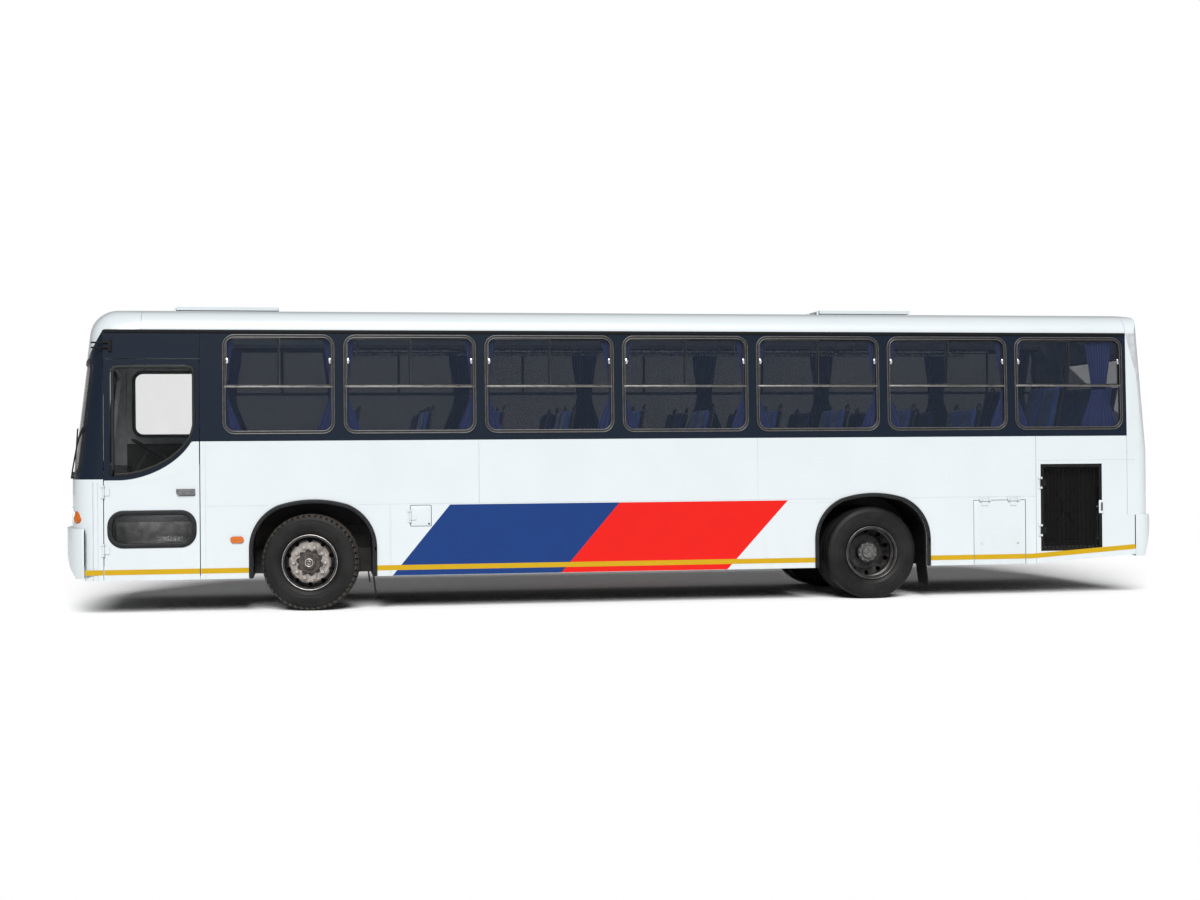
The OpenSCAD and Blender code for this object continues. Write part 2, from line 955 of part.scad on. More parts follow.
module tail_solid(t) {
  difference() {
    intersection() {
      along_x(cap_x - sliver, tail_x + wall_t) body_section(t);
      union() {
        along_z(skirt_z, tail_kink_z) tail_plan(t);
        intersection() {
          tail_tilt() along_z(skirt_z, body_h + body_h) tail_plan(t + sliver);
          block(dome_x, tail_x + wall_t, -body_w, body_w, tail_kink_z, body_h + wall_t);
        }
      }
    }
    along_y(-body_w, body_w) tail_top_cut(t);
  }
}

module rear_glass_outline(grow) {
  round_rect(-rear_glass_y - grow, rear_glass_y + grow, rear_glass_z - grow,
    rear_glass_z + rear_glass_h + grow, rear_glass_r + grow);
}

module tail_lamp_holes(grow) {
  for (side = SIDES)
    for (z = tail_lamp_zs) translate([side * tail_lamp_y, z]) circle(tail_lamp_r + grow);
}

module rear_wall() {
  color(white) difference() {
    intersection() {
      difference() {
        tail_solid(0);
        tail_solid(wall_t);
      }
      block(cap_x, tail_x + wall_t, -body_w, body_w, bumper_top_z + fit_gap, body_h + wall_t);
    }
    tail_tilt() along_x(cap_x, tail_x + wall_t) rear_glass_outline(0);
    along_x(tail_x - tail_lamp_deep, tail_x + wall_t) tail_lamp_holes(0);
    along_x(tail_x - tail_r, tail_x + wall_t)
      rect(-lid_half_w - lid_gap, lid_half_w + lid_gap, lid_z - lid_gap, lid_z + lid_h + lid_gap);
  }
  color(white) lid_hinges() hinge_carrier();
}

// Side panes, two sliding panes above one fixed pane, and the tail pane
module windows() {
  color(tint) {
    for (side = SIDES) on_side(side) {
      wall_piece(pane_out, pane_out + pane_t, waist_z, gutter_z)
        for (i = [0:window_cols - 1])
          window_pane(window_x(i), window_x(i) + window_w(i), false);
      wall_piece(pane_out + pane_t * 2, pane_out + pane_t * 3, waist_z, gutter_z)
        for (i = [0:window_cols - 1])
          window_pane(window_x(i), window_x(i) + window_w(i), true);
    }
    on_side(RIGHT) wall_piece(pane_out, pane_out + pane_t, waist_z, gutter_z)
      cab_hole(-frame_w - fit_gap);
    tail_tilt() intersection() {
      along_x(tail_x - pane_out - pane_t, tail_x - pane_out) rear_glass_outline(-fit_gap);
      block(cap_x, tail_x, -body_w, body_w, waist_z, gutter_z);
    }
  }
}

// Clear opening inside a frame, less the sliding half that lies deeper
module window_pane(x0, x1, deep) {
  mid = (x0 + x1) / 2;
  in = frame_w + fit_gap;
  bar_z = window_z + divider_h;
  intersection() {
    round_rect(x0 + in, x1 - in, window_z + in, window_z + window_h - in, window_r - in);
    union() {
      if (!deep) rect(x0, x1, window_z, bar_z - bar_w / 2 - fit_gap);
      rect(deep ? mid - meet_lap : x0, deep ? x1 : mid + meet_lap,
        bar_z + bar_w / 2 + fit_gap, window_z + window_h);
    }
  }
}

module window_frames() {
  color(dark) {
    both_sides() wall_piece(-frame_proud, frame_in, waist_z, gutter_z) {
      difference() {
        window_holes(-fit_gap);
        window_holes(-frame_w);
      }
      for (i = [0:window_cols - 1])
        rect(window_x(i) + frame_w / 2, window_x(i) + window_w(i) - frame_w / 2,
          window_z + divider_h - bar_w / 2, window_z + divider_h + bar_w / 2);
    }
    on_side(RIGHT) wall_piece(-frame_proud, frame_in, waist_z, gutter_z) difference() {
      cab_hole(-fit_gap);
      cab_hole(-frame_w);
    }
  }
}

// Hollow bumpers, cut from a plan and a side outline
module front_bumper_solid(t) {
  intersection() {
    along_z(skirt_z, waist_z) intersection() {
      front_plan(t - nose_s);
      translate([front_x, -half_w + t]) square([dome_rear_s, 2 * (half_w - t)]);
    }
    along_y(-body_w, body_w) translate([t, 0]) polygon([
      [front_x + bumper_in_s, bumper_top_z - fit_gap - t],
      [front_x + bumper_top_in, bumper_top_z - fit_gap - t],
      [front_x, bumper_face_z], [front_x + bumper_chin_in, bumper_chin_z],
      [front_x + bumper_low_in, bumper_low_z], [front_x + bumper_in_s, bumper_low_z]]);
  }
}

module front_bumper() {
  color(white) intersection() {
    difference() {
      front_bumper_solid(0);
      front_bumper_solid(bumper_t);
    }
    block(front_x, front_x + bumper_in_s, -half_w, half_w, bumper_low_z, bumper_top_z);
  }
}

module rear_bumper_solid(t) {
  intersection() {
    along_z(skirt_z, waist_z) translate([tail_inset, 0]) tail_plan(t);
    along_y(-body_w, body_w) translate([-t, 0]) polygon([[cap_low_x + seam_w, bumper_top_z - t],
      [back_x - bumper_top_in, bumper_top_z - t], [back_x, bumper_face_z],
      [back_x - tail_low_in, tail_low_z], [cap_low_x + seam_w, tail_low_z]]);
  }
}

module rear_bumper() {
  color(white) intersection() {
    difference() {
      rear_bumper_solid(0);
      rear_bumper_solid(bumper_t);
    }
    block(cap_low_x + seam_w, back_x, -half_w, half_w, tail_low_z, bumper_top_z);
  }
}

// Rubber lips around the four arches
module arch_trims() {
  color(rubber) both_sides() for (x = axle_xs) {
    along_y(half_w, half_w + trim_proud) intersection() {
      difference() {
        arch_outline(x, 0);
        arch_outline(x, -trim_w);
      }
      rect(x - arch_half_w, x + arch_half_w, skirt_z, body_h);
    }
  }
}

// Wheel boxes with their mud flaps
module wheel_housings() {
  color(rubber) both_sides() for (x = axle_xs) {
    along_y(housing_y, half_w - wall_t) intersection() {
      difference() {
        arch_outline(x, -trim_w + housing_t);
        arch_outline(x, -trim_w);
      }
      rect(x - arch_half_w, x + arch_half_w, skirt_z, body_h);
    }
    along_y(housing_y, housing_y + housing_t) intersection() {
      arch_outline(x, -trim_w + housing_t);
      rect(x - arch_half_w, x + arch_half_w, rail_top_z, body_h);
    }
    along_y(half_w - wall_t - flap_w, half_w - wall_t)
      translate([x + arch_half_w - trim_w, skirt_z + wall_t]) rotate(flap_lean)
        rect(0, flap_t, -flap_l, 0);
  }
}

module headlamps() {
  color(clear) intersection() {
    front_skin(-lamp_proud, lamp_in, skirt_z, screen_base_z);
    along_x(front_x, corner_x) for (side = SIDES)
      for (y = lamp_ys) translate([side * y, lamp_z]) circle(lamp_r - fit_gap);
  }
}

module amber_lamps() {
  color(amber) {
    intersection() {
      front_skin(-lamp_proud, lamp_in, skirt_z, screen_base_z);
      along_x(front_x, corner_x) for (side = SIDES)
        translate([side * corner_lamp_y, lamp_z]) circle(corner_lamp_r - fit_gap);
    }
    both_sides() along_y(half_w, half_w + marker_proud)
      round_rect(marker_x - marker_l / 2, marker_x + marker_l / 2, marker_z - marker_h / 2,
        marker_z + marker_h / 2, marker_h / 2 - sliver);
  }
}

module tail_lamps() {
  color(red) along_x(tail_x - tail_lamp_deep + fit_gap, tail_x + tail_lamp_proud) tail_lamp_holes(-fit_gap);
}

// Mirror on a bracket arm at the driver's post
module driver_mirror() {
  along_x(mirror_x - mirror_t / 2, mirror_x + mirror_t / 2)
    round_rect(mirror_y - mirror_w / 2, mirror_y + mirror_w / 2, mirror_z, mirror_z + mirror_h, mirror_r);
  translate([mirror_x, mirror_y, mirror_z + mirror_h / 2])
    cylinder(h = mirror_arm_z - mirror_z - mirror_h / 2, r = mirror_arm_r);
  difference() {
    translate([mirror_x - mirror_arm_r, mirror_y, mirror_arm_z]) rotate([0, 90, 0])
      cylinder(h = mirror_foot_x - mirror_x + mirror_arm_r, r = mirror_arm_r);
    raked() along_z(waist_z, body_h) front_plan(-fit_gap);
  }
  screen_piece(-mirror_arm_r, -fit_gap) translate([mirror_y, mirror_arm_z]) circle(2 * mirror_arm_r);
}

// Bare bracket with two prongs over the door
module door_bracket() {
  mid_z = gutter_z - bracket_drop;
  wall_piece(-bracket_t, -fit_gap, waist_z, gutter_z)
    rect(bracket_x - bracket_w / 2, bracket_x + bracket_w / 2, mid_z - bracket_h / 2, mid_z + bracket_h / 2);
  for (end = ENDS) {
    z = mid_z + end * prong_gap / 2;
    translate([bracket_x - prong_l, wall_y(z) + bracket_t - prong_r, z]) rotate([0, 90, 0])
      cylinder(h = prong_l, r = prong_r);
  }
}

module mirrors() {
  color(rubber) {
    on_side(RIGHT) driver_mirror();
    on_side(LEFT) door_bracket();
  }
}

// Wiper arms and blades that follow the screen
module wipers() {
  color(rubber) for (y = wiper_ys) {
    screen_piece(-wiper_out, -wiper_out + wiper_t) union() {
      translate([y, wiper_foot_z]) rotate(wiper_lean) square([wiper_w, wiper_l]);
      translate([y, wiper_foot_z]) circle(wiper_foot_r);
    }
    screen_piece(-wiper_out, -fit_gap) translate([y, wiper_foot_z]) circle(wiper_foot_r - fit_gap);
  }
}

// Flat floor, cut out for the wheel boxes and the step box
module floor_plan() {
  cut_l = 2 * (arch_half_w - trim_w + housing_t + fit_gap);
  cut_w = 2 * (half_w - housing_y + fit_gap);
  difference() {
    intersection() {
      translate([nose_x, -half_w + wall_t + fit_gap])
        square([platform_x - nose_x, body_w - 2 * wall_t - 2 * fit_gap]);
      union() {
        front_plan(wall_t + fit_gap);
        translate([door_x, -half_w]) square([body_l, body_w]);
      }
    }
    translate([nose_x, -half_w]) square([post_x + stair_t - nose_x, half_w - stair_top_y]);
    for (side = SIDES)
      for (x = axle_xs) translate([x, side * half_w]) square([cut_l, cut_w], center = true);
  }
}

module floor() {
  color(grey) along_z(deck_z, floor_z) floor_plan();
}

// Step box at the door: two treads with their risers between side plates
module entry_steps() {
  foot_y = stair_top_y + 2 * stair_run;
  foot_z = floor_z - 2 * stair_rise - stair_t;
  color(grey) {
    on_side(LEFT) along_x(door_x + seam_w, post_x + stair_t) for (i = [0, 1]) {
      y = stair_top_y + i * stair_run;
      tread_z = floor_z - (i + 1) * stair_rise;
      rect(y - stair_t, y + stair_run, tread_z - stair_t, tread_z);
      rect(y - stair_t, y, tread_z, i == 0 ? deck_z : tread_z + stair_rise);
    }
    for (x = [door_x + seam_w, post_x]) block(x, x + stair_t, -foot_y, -stair_top_y, foot_z, floor_z);
  }
}

// Raised deck over the engine with its front riser and the cover over the radiator
module rear_deck() {
  reach = half_w - wall_t - fit_gap;
  top_z = floor_z + platform_rise;
  color(grey) {
    difference() {
      union() {
        block(platform_x - deck_t, tail_x - tail_r, -reach, reach, top_z - deck_t, top_z);
        radiator_cover(0, top_z - deck_t);
      }
      radiator_cover(cover_t, skirt_z);
    }
    block(platform_x - deck_t, platform_x, -reach, reach, floor_z, top_z);
  }
}

// Box around the radiator at the raised deck, at an inset from its outer faces
module radiator_cover(t, low) {
  block(radiator_x - cover_over + t, radiator_x + radiator_w + cover_over - t,
    -half_w + wall_t + fit_gap - t, -half_w + wall_t + cover_w - t, low,
    radiator_z + radiator_h + 2 * cover_t - t);
}

// Ladder frame with cross bearers, spring hangers, tow eyes and jacking pads
module rail() {
  along_x(rail_x0, rail_x1) difference() {
    rect(rail_y - rail_w / 2, rail_y + rail_w / 2, rail_z, rail_top_z);
    rect(rail_y - rail_w, rail_y + rail_w / 2 - rail_t, rail_z + rail_t, rail_top_z - rail_t);
  }
}

module chassis_frame() {
  reach = half_w - wall_t - fit_gap;
  rail_in = rail_y + rail_w / 2 - rail_t;
  color(dark) {
    both_sides() {
      rail();
      for (x = axle_xs) for (end = ENDS) {
        y = x == front_axle_x ? spring_y : spring_rear_y;
        block(x + end * (spring_half - hanger_l / 2) - hanger_l / 2,
          x + end * (spring_half - hanger_l / 2) + hanger_l / 2,
          min(y - spring_w / 2, rail_y + rail_w / 2 - rail_t), y + spring_w / 2,
          spring_end_z(x) + fit_gap, rail_z + rail_h / 2);
      }
      for (end = ENDS) difference() {
        block(end < 0 ? rail_x0 - tow_out : rail_x1 - tow_w, end < 0 ? rail_x0 + tow_w : rail_x1 + tow_out,
          rail_y - tow_t / 2, rail_y + tow_t / 2, rail_z, rail_z + tow_w);
        translate([end < 0 ? rail_x0 - tow_out / 2 : rail_x1 + tow_out / 2,
          rail_y + tow_t, rail_z + tow_w / 2]) rotate([90, 0, 0]) cylinder(h = 2 * tow_t, r = tow_r);
      }
      block(pad_x - pad_w / 2, pad_x + pad_w / 2, rail_y - pad_w / 2,
        rail_y + pad_w / 2, rail_z - pad_t, rail_z);
    }
    for (x = bearer_xs)
      block(x - bearer_w / 2, x + bearer_w / 2,
        x < post_x + wall_t ? -stair_top_y + stair_t + fit_gap : -reach, reach, rail_top_z, deck_z);
    for (x = cross_xs)
      block(x - bearer_w / 2, x + bearer_w / 2, -rail_in, rail_in, rail_top_z - cross_h, rail_top_z);
  }
}

// Leaf springs: an arc that sits on the axle and ends under its hangers
function spring_r() = (pow(spring_half, 2) + pow(spring_sag, 2)) / (2 * spring_sag);
function spring_seat(x) = x == front_axle_x ? beam_z + beam_h : wheel_z + axle_r;
function spring_end_z(x) = spring_seat(x) + spring_t + spring_r()
  - sqrt(pow(spring_r(), 2) - pow(spring_half - hanger_l, 2));

module leaf_springs() {
  color(dark) both_sides() for (x = axle_xs) {
    y = x == front_axle_x ? spring_y : spring_rear_y;
    z = spring_seat(x) + fit_gap;
    along_y(y - spring_w / 2, y + spring_w / 2) intersection() {
      difference() {
        translate([x, z + spring_r()]) circle(spring_r(), $fn = wide_fn);
        translate([x, z + spring_t + spring_r()]) circle(spring_r(), $fn = wide_fn);
      }
      rect(x - spring_half, x + spring_half, z - spring_t, spring_end_z(x));
    }
  }
}

// Front beam with an upright pin at each end
module front_axle() {
  color(dark) {
    block(front_axle_x - beam_w / 2, front_axle_x + beam_w / 2, -beam_half, beam_half,
      beam_z, beam_z + beam_h);
    both_sides() block(front_axle_x - beam_w / 2, front_axle_x + beam_w / 2, beam_half - beam_lap,
      kingpin_y - boss_r / 2, beam_end_z, beam_end_z + beam_end_h);
    both_sides() translate([front_axle_x, kingpin_y, 0]) {
      translate([0, 0, boss_z0]) cylinder(h = boss_h, r = boss_r);
      translate([0, 0, boss_z0 - ear_h - clear_gap])
        cylinder(h = boss_h + 2 * (ear_h + clear_gap), r = pin_r);
    }
  }
}

// Turn about a kingpin to the parked angle of the steering
module steered(side) {
  translate([front_axle_x, side * kingpin_y, 0]) rotate([0, 0, -steer_rest])
    translate([-front_axle_x, -side * kingpin_y, 0]) children();
}

module knuckle(side) {
  low = boss_z0 - clear_gap - ear_h;
  high = boss_z0 + boss_h + clear_gap + ear_h;
  color(steel) steered(side) on_side(side) difference() {
    union() {
      for (z = [low, high - ear_h]) {
        translate([front_axle_x, kingpin_y, z]) cylinder(h = ear_h, r = ear_r);
        block(front_axle_x - ear_r, front_axle_x + ear_r, kingpin_y, kingpin_y + yoke_y + yoke_t,
          z, z + ear_h);
      }
      block(front_axle_x - yoke_w / 2, front_axle_x + yoke_w / 2, kingpin_y + yoke_y,
        kingpin_y + yoke_y + yoke_t, low, high);
      translate([front_axle_x, kingpin_y + yoke_y, wheel_z]) rotate([-90, 0, 0])
        cylinder(h = front_tyre_y - kingpin_y - yoke_y + hub_out - clear_gap, r = spindle_r);
      block(front_axle_x, front_axle_x + arm_l, kingpin_y - arm_w / 2, kingpin_y + arm_w / 2,
        low, low + arm_h);
      translate([front_axle_x + arm_l, kingpin_y, low]) cylinder(h = arm_h, r = arm_w / 2);
    }
    translate([front_axle_x, kingpin_y, 0]) cylinder(h = body_h, r = pin_r + run_gap);
    translate([front_axle_x + arm_l, kingpin_y, 0]) cylinder(h = wheel_z, r = joint_r + run_gap);
  }
}

module knuckle_left() { knuckle(LEFT); }
module knuckle_right() { knuckle(RIGHT); }

// Track rod under the two steering arms
module tie_rod() {
  low = boss_z0 - clear_gap - ear_h;
  color(steel) translate([front_axle_x + arm_l * cos(steer_rest), -arm_l * sin(steer_rest), 0]) {
    translate([0, kingpin_y, rod_z]) rotate([90, 0, 0]) cylinder(h = 2 * kingpin_y, r = rod_r);
    both_sides() translate([0, kingpin_y, rod_z - rod_r]) {
      cylinder(h = low + arm_h - rod_z + rod_r, r = joint_r);
      cylinder(h = low - clear_gap - rod_z + rod_r, r = rod_r + clear_gap);
    }
  }
}

// Drive axle with its stubs, the round gear case and the shaft from the gearbox
module rear_axle() {
  half = rear_tyre_y - twin_pitch / 2 + hub_in - clear_gap;
  color(dark) translate([rear_axle_x, 0, wheel_z]) {
    rotate([90, 0, 0]) translate([0, 0, -half]) cylinder(h = 2 * half, r = stub_r);
    rotate([90, 0, 0]) translate([0, 0, -housing_y - axle_r])
      cylinder(h = 2 * (housing_y + axle_r), r = axle_r);
    rotate([90, 0, 0]) translate([0, 0, -diff_w / 2]) cylinder(h = diff_w, r = diff_r);
    rotate([0, 90, 0]) cylinder(h = engine_x0 - gearbox_l - rear_axle_x - fit_gap, r = shaft_r);
  }
}

module engine() {
  color(dark) {
    block(engine_x0, engine_x0 + engine_l, -engine_half_w, engine_half_w, engine_z, engine_z + engine_h);
    block(engine_x0 - gearbox_l, engine_x0, -gearbox_half_w, gearbox_half_w,
      gearbox_z, gearbox_z + gearbox_h);
    for (x = [engine_x0 + foot_l, engine_x0 + engine_l - 3 * foot_l])
      block(x, x + foot_l, -rail_y - rail_w / 2 + rail_t + fit_gap, rail_y + rail_w / 2 - rail_t - fit_gap,
        rail_z + rail_t + fit_gap, rail_z + rail_t + foot_h);
  }
}

// Radiator core behind the grille door with its fan
module radiator() {
  x0 = radiator_x;
  y0 = -half_w + radiator_back;
  color(grey) {
    block(x0, x0 + radiator_w, y0, y0 + radiator_t, radiator_z + wall_t, radiator_z + radiator_h - wall_t);
    block(x0 - radiator_t / 2, x0 + radiator_w + radiator_t / 2,
      -half_w + wall_t + fit_gap, y0 + radiator_t / 2,
      radiator_z + wall_t, radiator_z + wall_t + wall_t);
    translate([x0 + radiator_w / 2, y0, radiator_z + radiator_h / 2]) rotate([90, 0, 0]) {
      cylinder(h = fan_t, r = fan_hub_r);
      for (i = [0:blade_count - 1]) rotate(i * 360 / blade_count)
        translate([0, -blade_w / 2, 0]) cube([fan_r, blade_w, fan_t / 2]);
    }
  }
}

// Fuel tank, air cylinders and silencer along the frame
module tanks() {
  side_y = rail_y + rail_w / 2 + fit_gap;
  color(grey) {
    on_side(LEFT) along_x(front_x + tank_s, front_x + tank_s + tank_l)
      round_rect(side_y, side_y + tank_w, tank_z, tank_z + tank_h, tank_r);
    for (s = air_ss) translate([front_x + s, side_y + air_r, air_z]) rotate([0, 90, 0])
      cylinder(h = air_l, r = air_r);
    translate([rear_axle_x + muffler_s, side_y + muffler_r, muffler_z]) rotate([0, 90, 0]) {
      cylinder(h = muffler_l, r = muffler_r);
      cylinder(h = muffler_l + pipe_l, r = pipe_r);
    }
  }
}

// Side outlines of a seat that faces the nose, from the foot of its back
module cushion_outline() {
  round_rect(-cushion_l, -rest_gap, seat_z + shell_t + fit_gap, seat_z + shell_t + cushion_h, cushion_h / 3);
}

module back_outline() {
  rotate(-back_lean) translate([0, shell_t + fit_gap])
    round_rect(-back_t / 2, back_t / 2, 0, back_h, back_t / 3);
}

module seat_shell_outline() {
  rect(-cushion_l + shell_t, back_t, seat_z, seat_z + shell_t);
  translate([0, seat_z + cushion_h]) rotate(-back_lean)
    rect(back_t / 2 + fit_gap, back_t / 2 + shell_t, -cushion_h, back_h);
}

module placed_seats() {
  for (i = [0:seat_rows - 1]) translate([front_x + seat_first_s + i * seat_pitch, floor_z]) children();
  translate([back_x - high_row_in, floor_z + platform_rise]) children();
}

module placed_bench() {
  translate([back_x - bench_in, floor_z + platform_rise]) children();
}

module seat_pads() {
  color(blue) {
    both_sides() along_y(seat_y0, seat_y0 + seat_w) placed_seats() {
      cushion_outline();
      translate([0, seat_z + cushion_h]) back_outline();
    }
    along_y(-bench_half_w, bench_half_w) placed_bench() {
      cushion_outline();
      translate([0, seat_z + cushion_h]) back_outline();
    }
    along_y(cowl_y - cab_seat_w / 2, cowl_y + cab_seat_w / 2)
      translate([front_x + cab_seat_s, floor_z + cab_seat_rise]) {
        cushion_outline();
        translate([0, seat_z + cushion_h]) back_outline();
      }
  }
}

// Seat shells with one leg by the aisle and a rail on the wall, curtain rails and a pole
module seat_frames() {
  wall_in = half_w - wall_t - fit_gap;
  color(steel) {
    both_sides() {
      along_y(seat_y0, seat_y0 + seat_w) placed_seats() seat_shell_outline();
      along_y(seat_y0, wall_in) placed_seats() rect(-leg_l, 0, seat_z - leg_w, seat_z);
      along_y(seat_y0 + leg_in, seat_y0 + leg_in + leg_w) placed_seats() rect(-leg_l, 0, 0, seat_z);
      wall_piece(wall_t + fit_gap, wall_t + rail_bar_t, waist_z, gutter_z)
        rect(post_mid(0) - curtain_low_w / 2, post_mid(window_cols) + curtain_low_w / 2, rail_bar_z,
          rail_bar_z + rail_bar_h);
    }
    along_y(-bench_half_w, bench_half_w) placed_bench() seat_shell_outline();
    along_y(-bench_leg_half_w, bench_leg_half_w) placed_bench() rect(-leg_l, 0, 0, seat_z);
    along_y(cowl_y - cab_seat_w / 2, cowl_y + cab_seat_w / 2)
      translate([front_x + cab_seat_s, floor_z + cab_seat_rise]) seat_shell_outline();
    along_y(cowl_y - leg_l / 2, cowl_y + leg_l / 2)
      translate([front_x + cab_seat_s, floor_z]) rect(-leg_l, 0, 0, seat_z + cab_seat_rise);
    translate([front_x + pole_s, -stair_top_y + 2 * pole_r, floor_z])
      cylinder(h = ceiling_z(stair_top_y - pole_r) - floor_z, r = pole_r);
  }
}

// Underside of the roof at a distance from the centre line
function ceiling_z(y) = crown_z + sqrt(pow(crown_r - wall_t, 2) - pow(y, 2)) - sliver;

// Gathered curtains that hang at each window post
module curtains() {
  color(blue) both_sides() wall_piece(wall_t + sliver, wall_t + curtain_t, waist_z, gutter_z)
    for (i = [0:window_cols]) translate([post_mid(i), 0]) polygon([
      [-curtain_top_w / 2, rail_bar_z - fit_gap], [-curtain_tie_w / 2, curtain_tie_z],
      [-curtain_low_w / 2, curtain_low_z], [curtain_low_w / 2, curtain_low_z],
      [curtain_tie_w / 2, curtain_tie_z], [curtain_top_w / 2, rail_bar_z - fit_gap]]);
}

// Dash with the driver's cowl and the steering column
module column_place() {
  translate([front_x + column_s, cowl_y, column_z]) rotate([0, column_lean, 0]) children();
}

module dash() {
  color(dark) {
    intersection() {
      block(front_x + dash_s, front_x + dash_s + dash_l, dash_y0, dash_y1, floor_z, floor_z + dash_h);
      along_z(floor_z, waist_z) front_plan(wall_t + fit_gap);
    }
    block(front_x + dash_s + dash_l / 3, front_x + dash_s + dash_l, cowl_y - cowl_w / 2, cowl_y + cowl_w / 2,
      floor_z, floor_z + dash_h + cowl_h);
    column_place() translate([0, 0, -column_r]) cylinder(h = column_l + column_r, r = column_r);
    column_place() cylinder(h = column_l + wheel_hub_h + clear_gap, r = column_r / 2);
  }
}

module steering_wheel() {
  color(rubber) column_place() translate([0, 0, column_l + clear_gap]) {
    rotate_extrude() translate([wheel_ring_r, wheel_hub_h / 2]) circle(wheel_ring_t);
    difference() {
      union() {
        cylinder(h = wheel_hub_h, r = wheel_hub_r);
        for (a = [90, 210, 330]) rotate(a)
          translate([0, -spoke_w / 2, wheel_hub_h / 2 - spoke_t / 2])
            cube([wheel_ring_r, spoke_w, spoke_t]);
      }
      translate([0, 0, -wheel_hub_h]) cylinder(h = 3 * wheel_hub_h, r = column_r / 2 + run_gap);
    }
  }
}

// Hinge about local Z: the leaf lies toward +X, its carrier toward -X, +Y points outward
module hinge_leaf() {
  difference() {
    union() {
      cylinder(h = hinge_h, r = hinge_r);
      block(0, strap_l, -hinge_out, strap_t - hinge_out, 0, hinge_h);
    }
    translate([0, 0, -hinge_h]) cylinder(h = 3 * hinge_h, r = hinge_pin_r + run_gap);
  }
}

module hinge_carrier() {
  low = -clear_gap - lug_h;
  translate([0, 0, low]) cylinder(h = hinge_h - 2 * low, r = hinge_pin_r);
  for (z = [low, hinge_h + clear_gap]) translate([0, 0, z]) {
    cylinder(h = lug_h, r = hinge_r);
    block(-carrier_l, 0, -hinge_out, strap_t - hinge_out, 0, lug_h);
    block(-carrier_l, -hinge_r, -hinge_out - carrier_seat, -hinge_out, 0, lug_h);
    block(-hinge_r, 0, -hinge_out, 0, 0, lug_h);
  }
}

// Places of the hinges on the left-hand wall, mirrored over by on_side, and on roof and tail
module door_hinges() {
  for (z = door_hinge_zs) translate([door_x - door_gap / 2, half_w + hinge_out, z]) children();
}

module radiator_hinges() {
  for (z = radiator_hinge_zs)
    translate([radiator_x - lid_gap / 2, half_w + hinge_out, z]) children();
}

module fuel_hinge() {
  translate([front_x + fuel_s - lid_gap / 2, half_w + hinge_out, fuel_hinge_z]) children();
}

module service_hinges() {
  for (in = service_hinge_ins)
    translate([service_x + in, half_w + hinge_out, service_top_z + lid_gap / 2])
      rotate([0, 90, 0]) children();
}

module lid_hinges() {
  for (y = [-lid_half_w + lid_hinge_ins[0], lid_half_w - lid_hinge_ins[1]])
    translate([tail_x + hinge_out, y, lid_z + lid_h + lid_gap / 2]) rotate([90, 90, 0]) children();
}

module hatch_hinges(i) {
  for (y = hatch_hinge_ys)
    translate([hatch_xs[i] - hinge_out, y, body_h + hatch_hinge_h]) rotate([90, 0, 0]) children();
}

// Hatch hinge: the barrel reaches back to the lid, the lugs stand on the roof
module hatch_leaf() {
  difference() {
    union() {
      cylinder(h = hinge_h, r = hinge_r);
      block(0, hinge_out + strap_t, -strap_t / 2, strap_t / 2, 0, hinge_h);
    }
    translate([0, 0, -hinge_h]) cylinder(h = 3 * hinge_h, r = hinge_pin_r + run_gap);
  }
}

module hatch_carrier() {
  low = -clear_gap - lug_h;
  translate([0, 0, low]) cylinder(h = hinge_h - 2 * low, r = hinge_pin_r);
  for (z = [low, hinge_h + clear_gap]) translate([0, 0, z]) {
    cylinder(h = lug_h, r = hinge_r);
    block(-hinge_r, hinge_r, -hatch_hinge_h - wall_t / 2, 0, 0, lug_h);
  }
}

// Door leaf in two colours: the line between them is one big arc
module door_split() {
  translate([door_split_x, door_split_z + door_split_r]) circle(door_split_r, $fn = wide_fn);
  rect(door_x, door_rear_x, waist_z, door_top_z);
}

module door_window(grow) {
  intersection() {
    round_rect(door_x + door_win_edge - grow, door_rear_x - door_win_edge + grow, door_split_z,
      door_top_z - door_win_top + grow, door_win_r + grow);
    translate([door_split_x, door_split_z + door_split_r])
      circle(door_split_r - door_win_edge + grow, $fn = wide_fn);
  }
}

module door_port(grow) {
  round_rect(door_x + door_port_edge - grow, door_rear_x - door_port_edge + grow, door_port_z - grow,
    door_port_z + door_port_h + grow, door_port_r + grow);
}

module door_lower() {
  color(white) on_side(LEFT) {
    wall_piece(0, door_t, skirt_z, gutter_z) difference() {
      rect(door_x, door_rear_x, skirt_z, waist_z);
      door_split();
      door_port(0);
    }
    along_y(half_w, half_w + handle_proud)
      round_rect(door_rear_x - handle_w - handle_h, door_rear_x - handle_h, handle_z, handle_z + handle_h,
        handle_h / 2 - sliver);
    door_hinges() hinge_leaf();
  }
}

module door_upper() {
  color(black) on_side(LEFT) wall_piece(0, door_t, skirt_z, gutter_z) difference() {
    intersection() {
      rect(door_x, door_rear_x, skirt_z, door_top_z);
      door_split();
    }
    door_window(0);
  }
}

module door_glass() {
  color(tint) on_side(LEFT) wall_piece(pane_out, pane_out + pane_t, skirt_z, gutter_z) {
    door_window(-fit_gap);
    door_port(-fit_gap);
  }
}

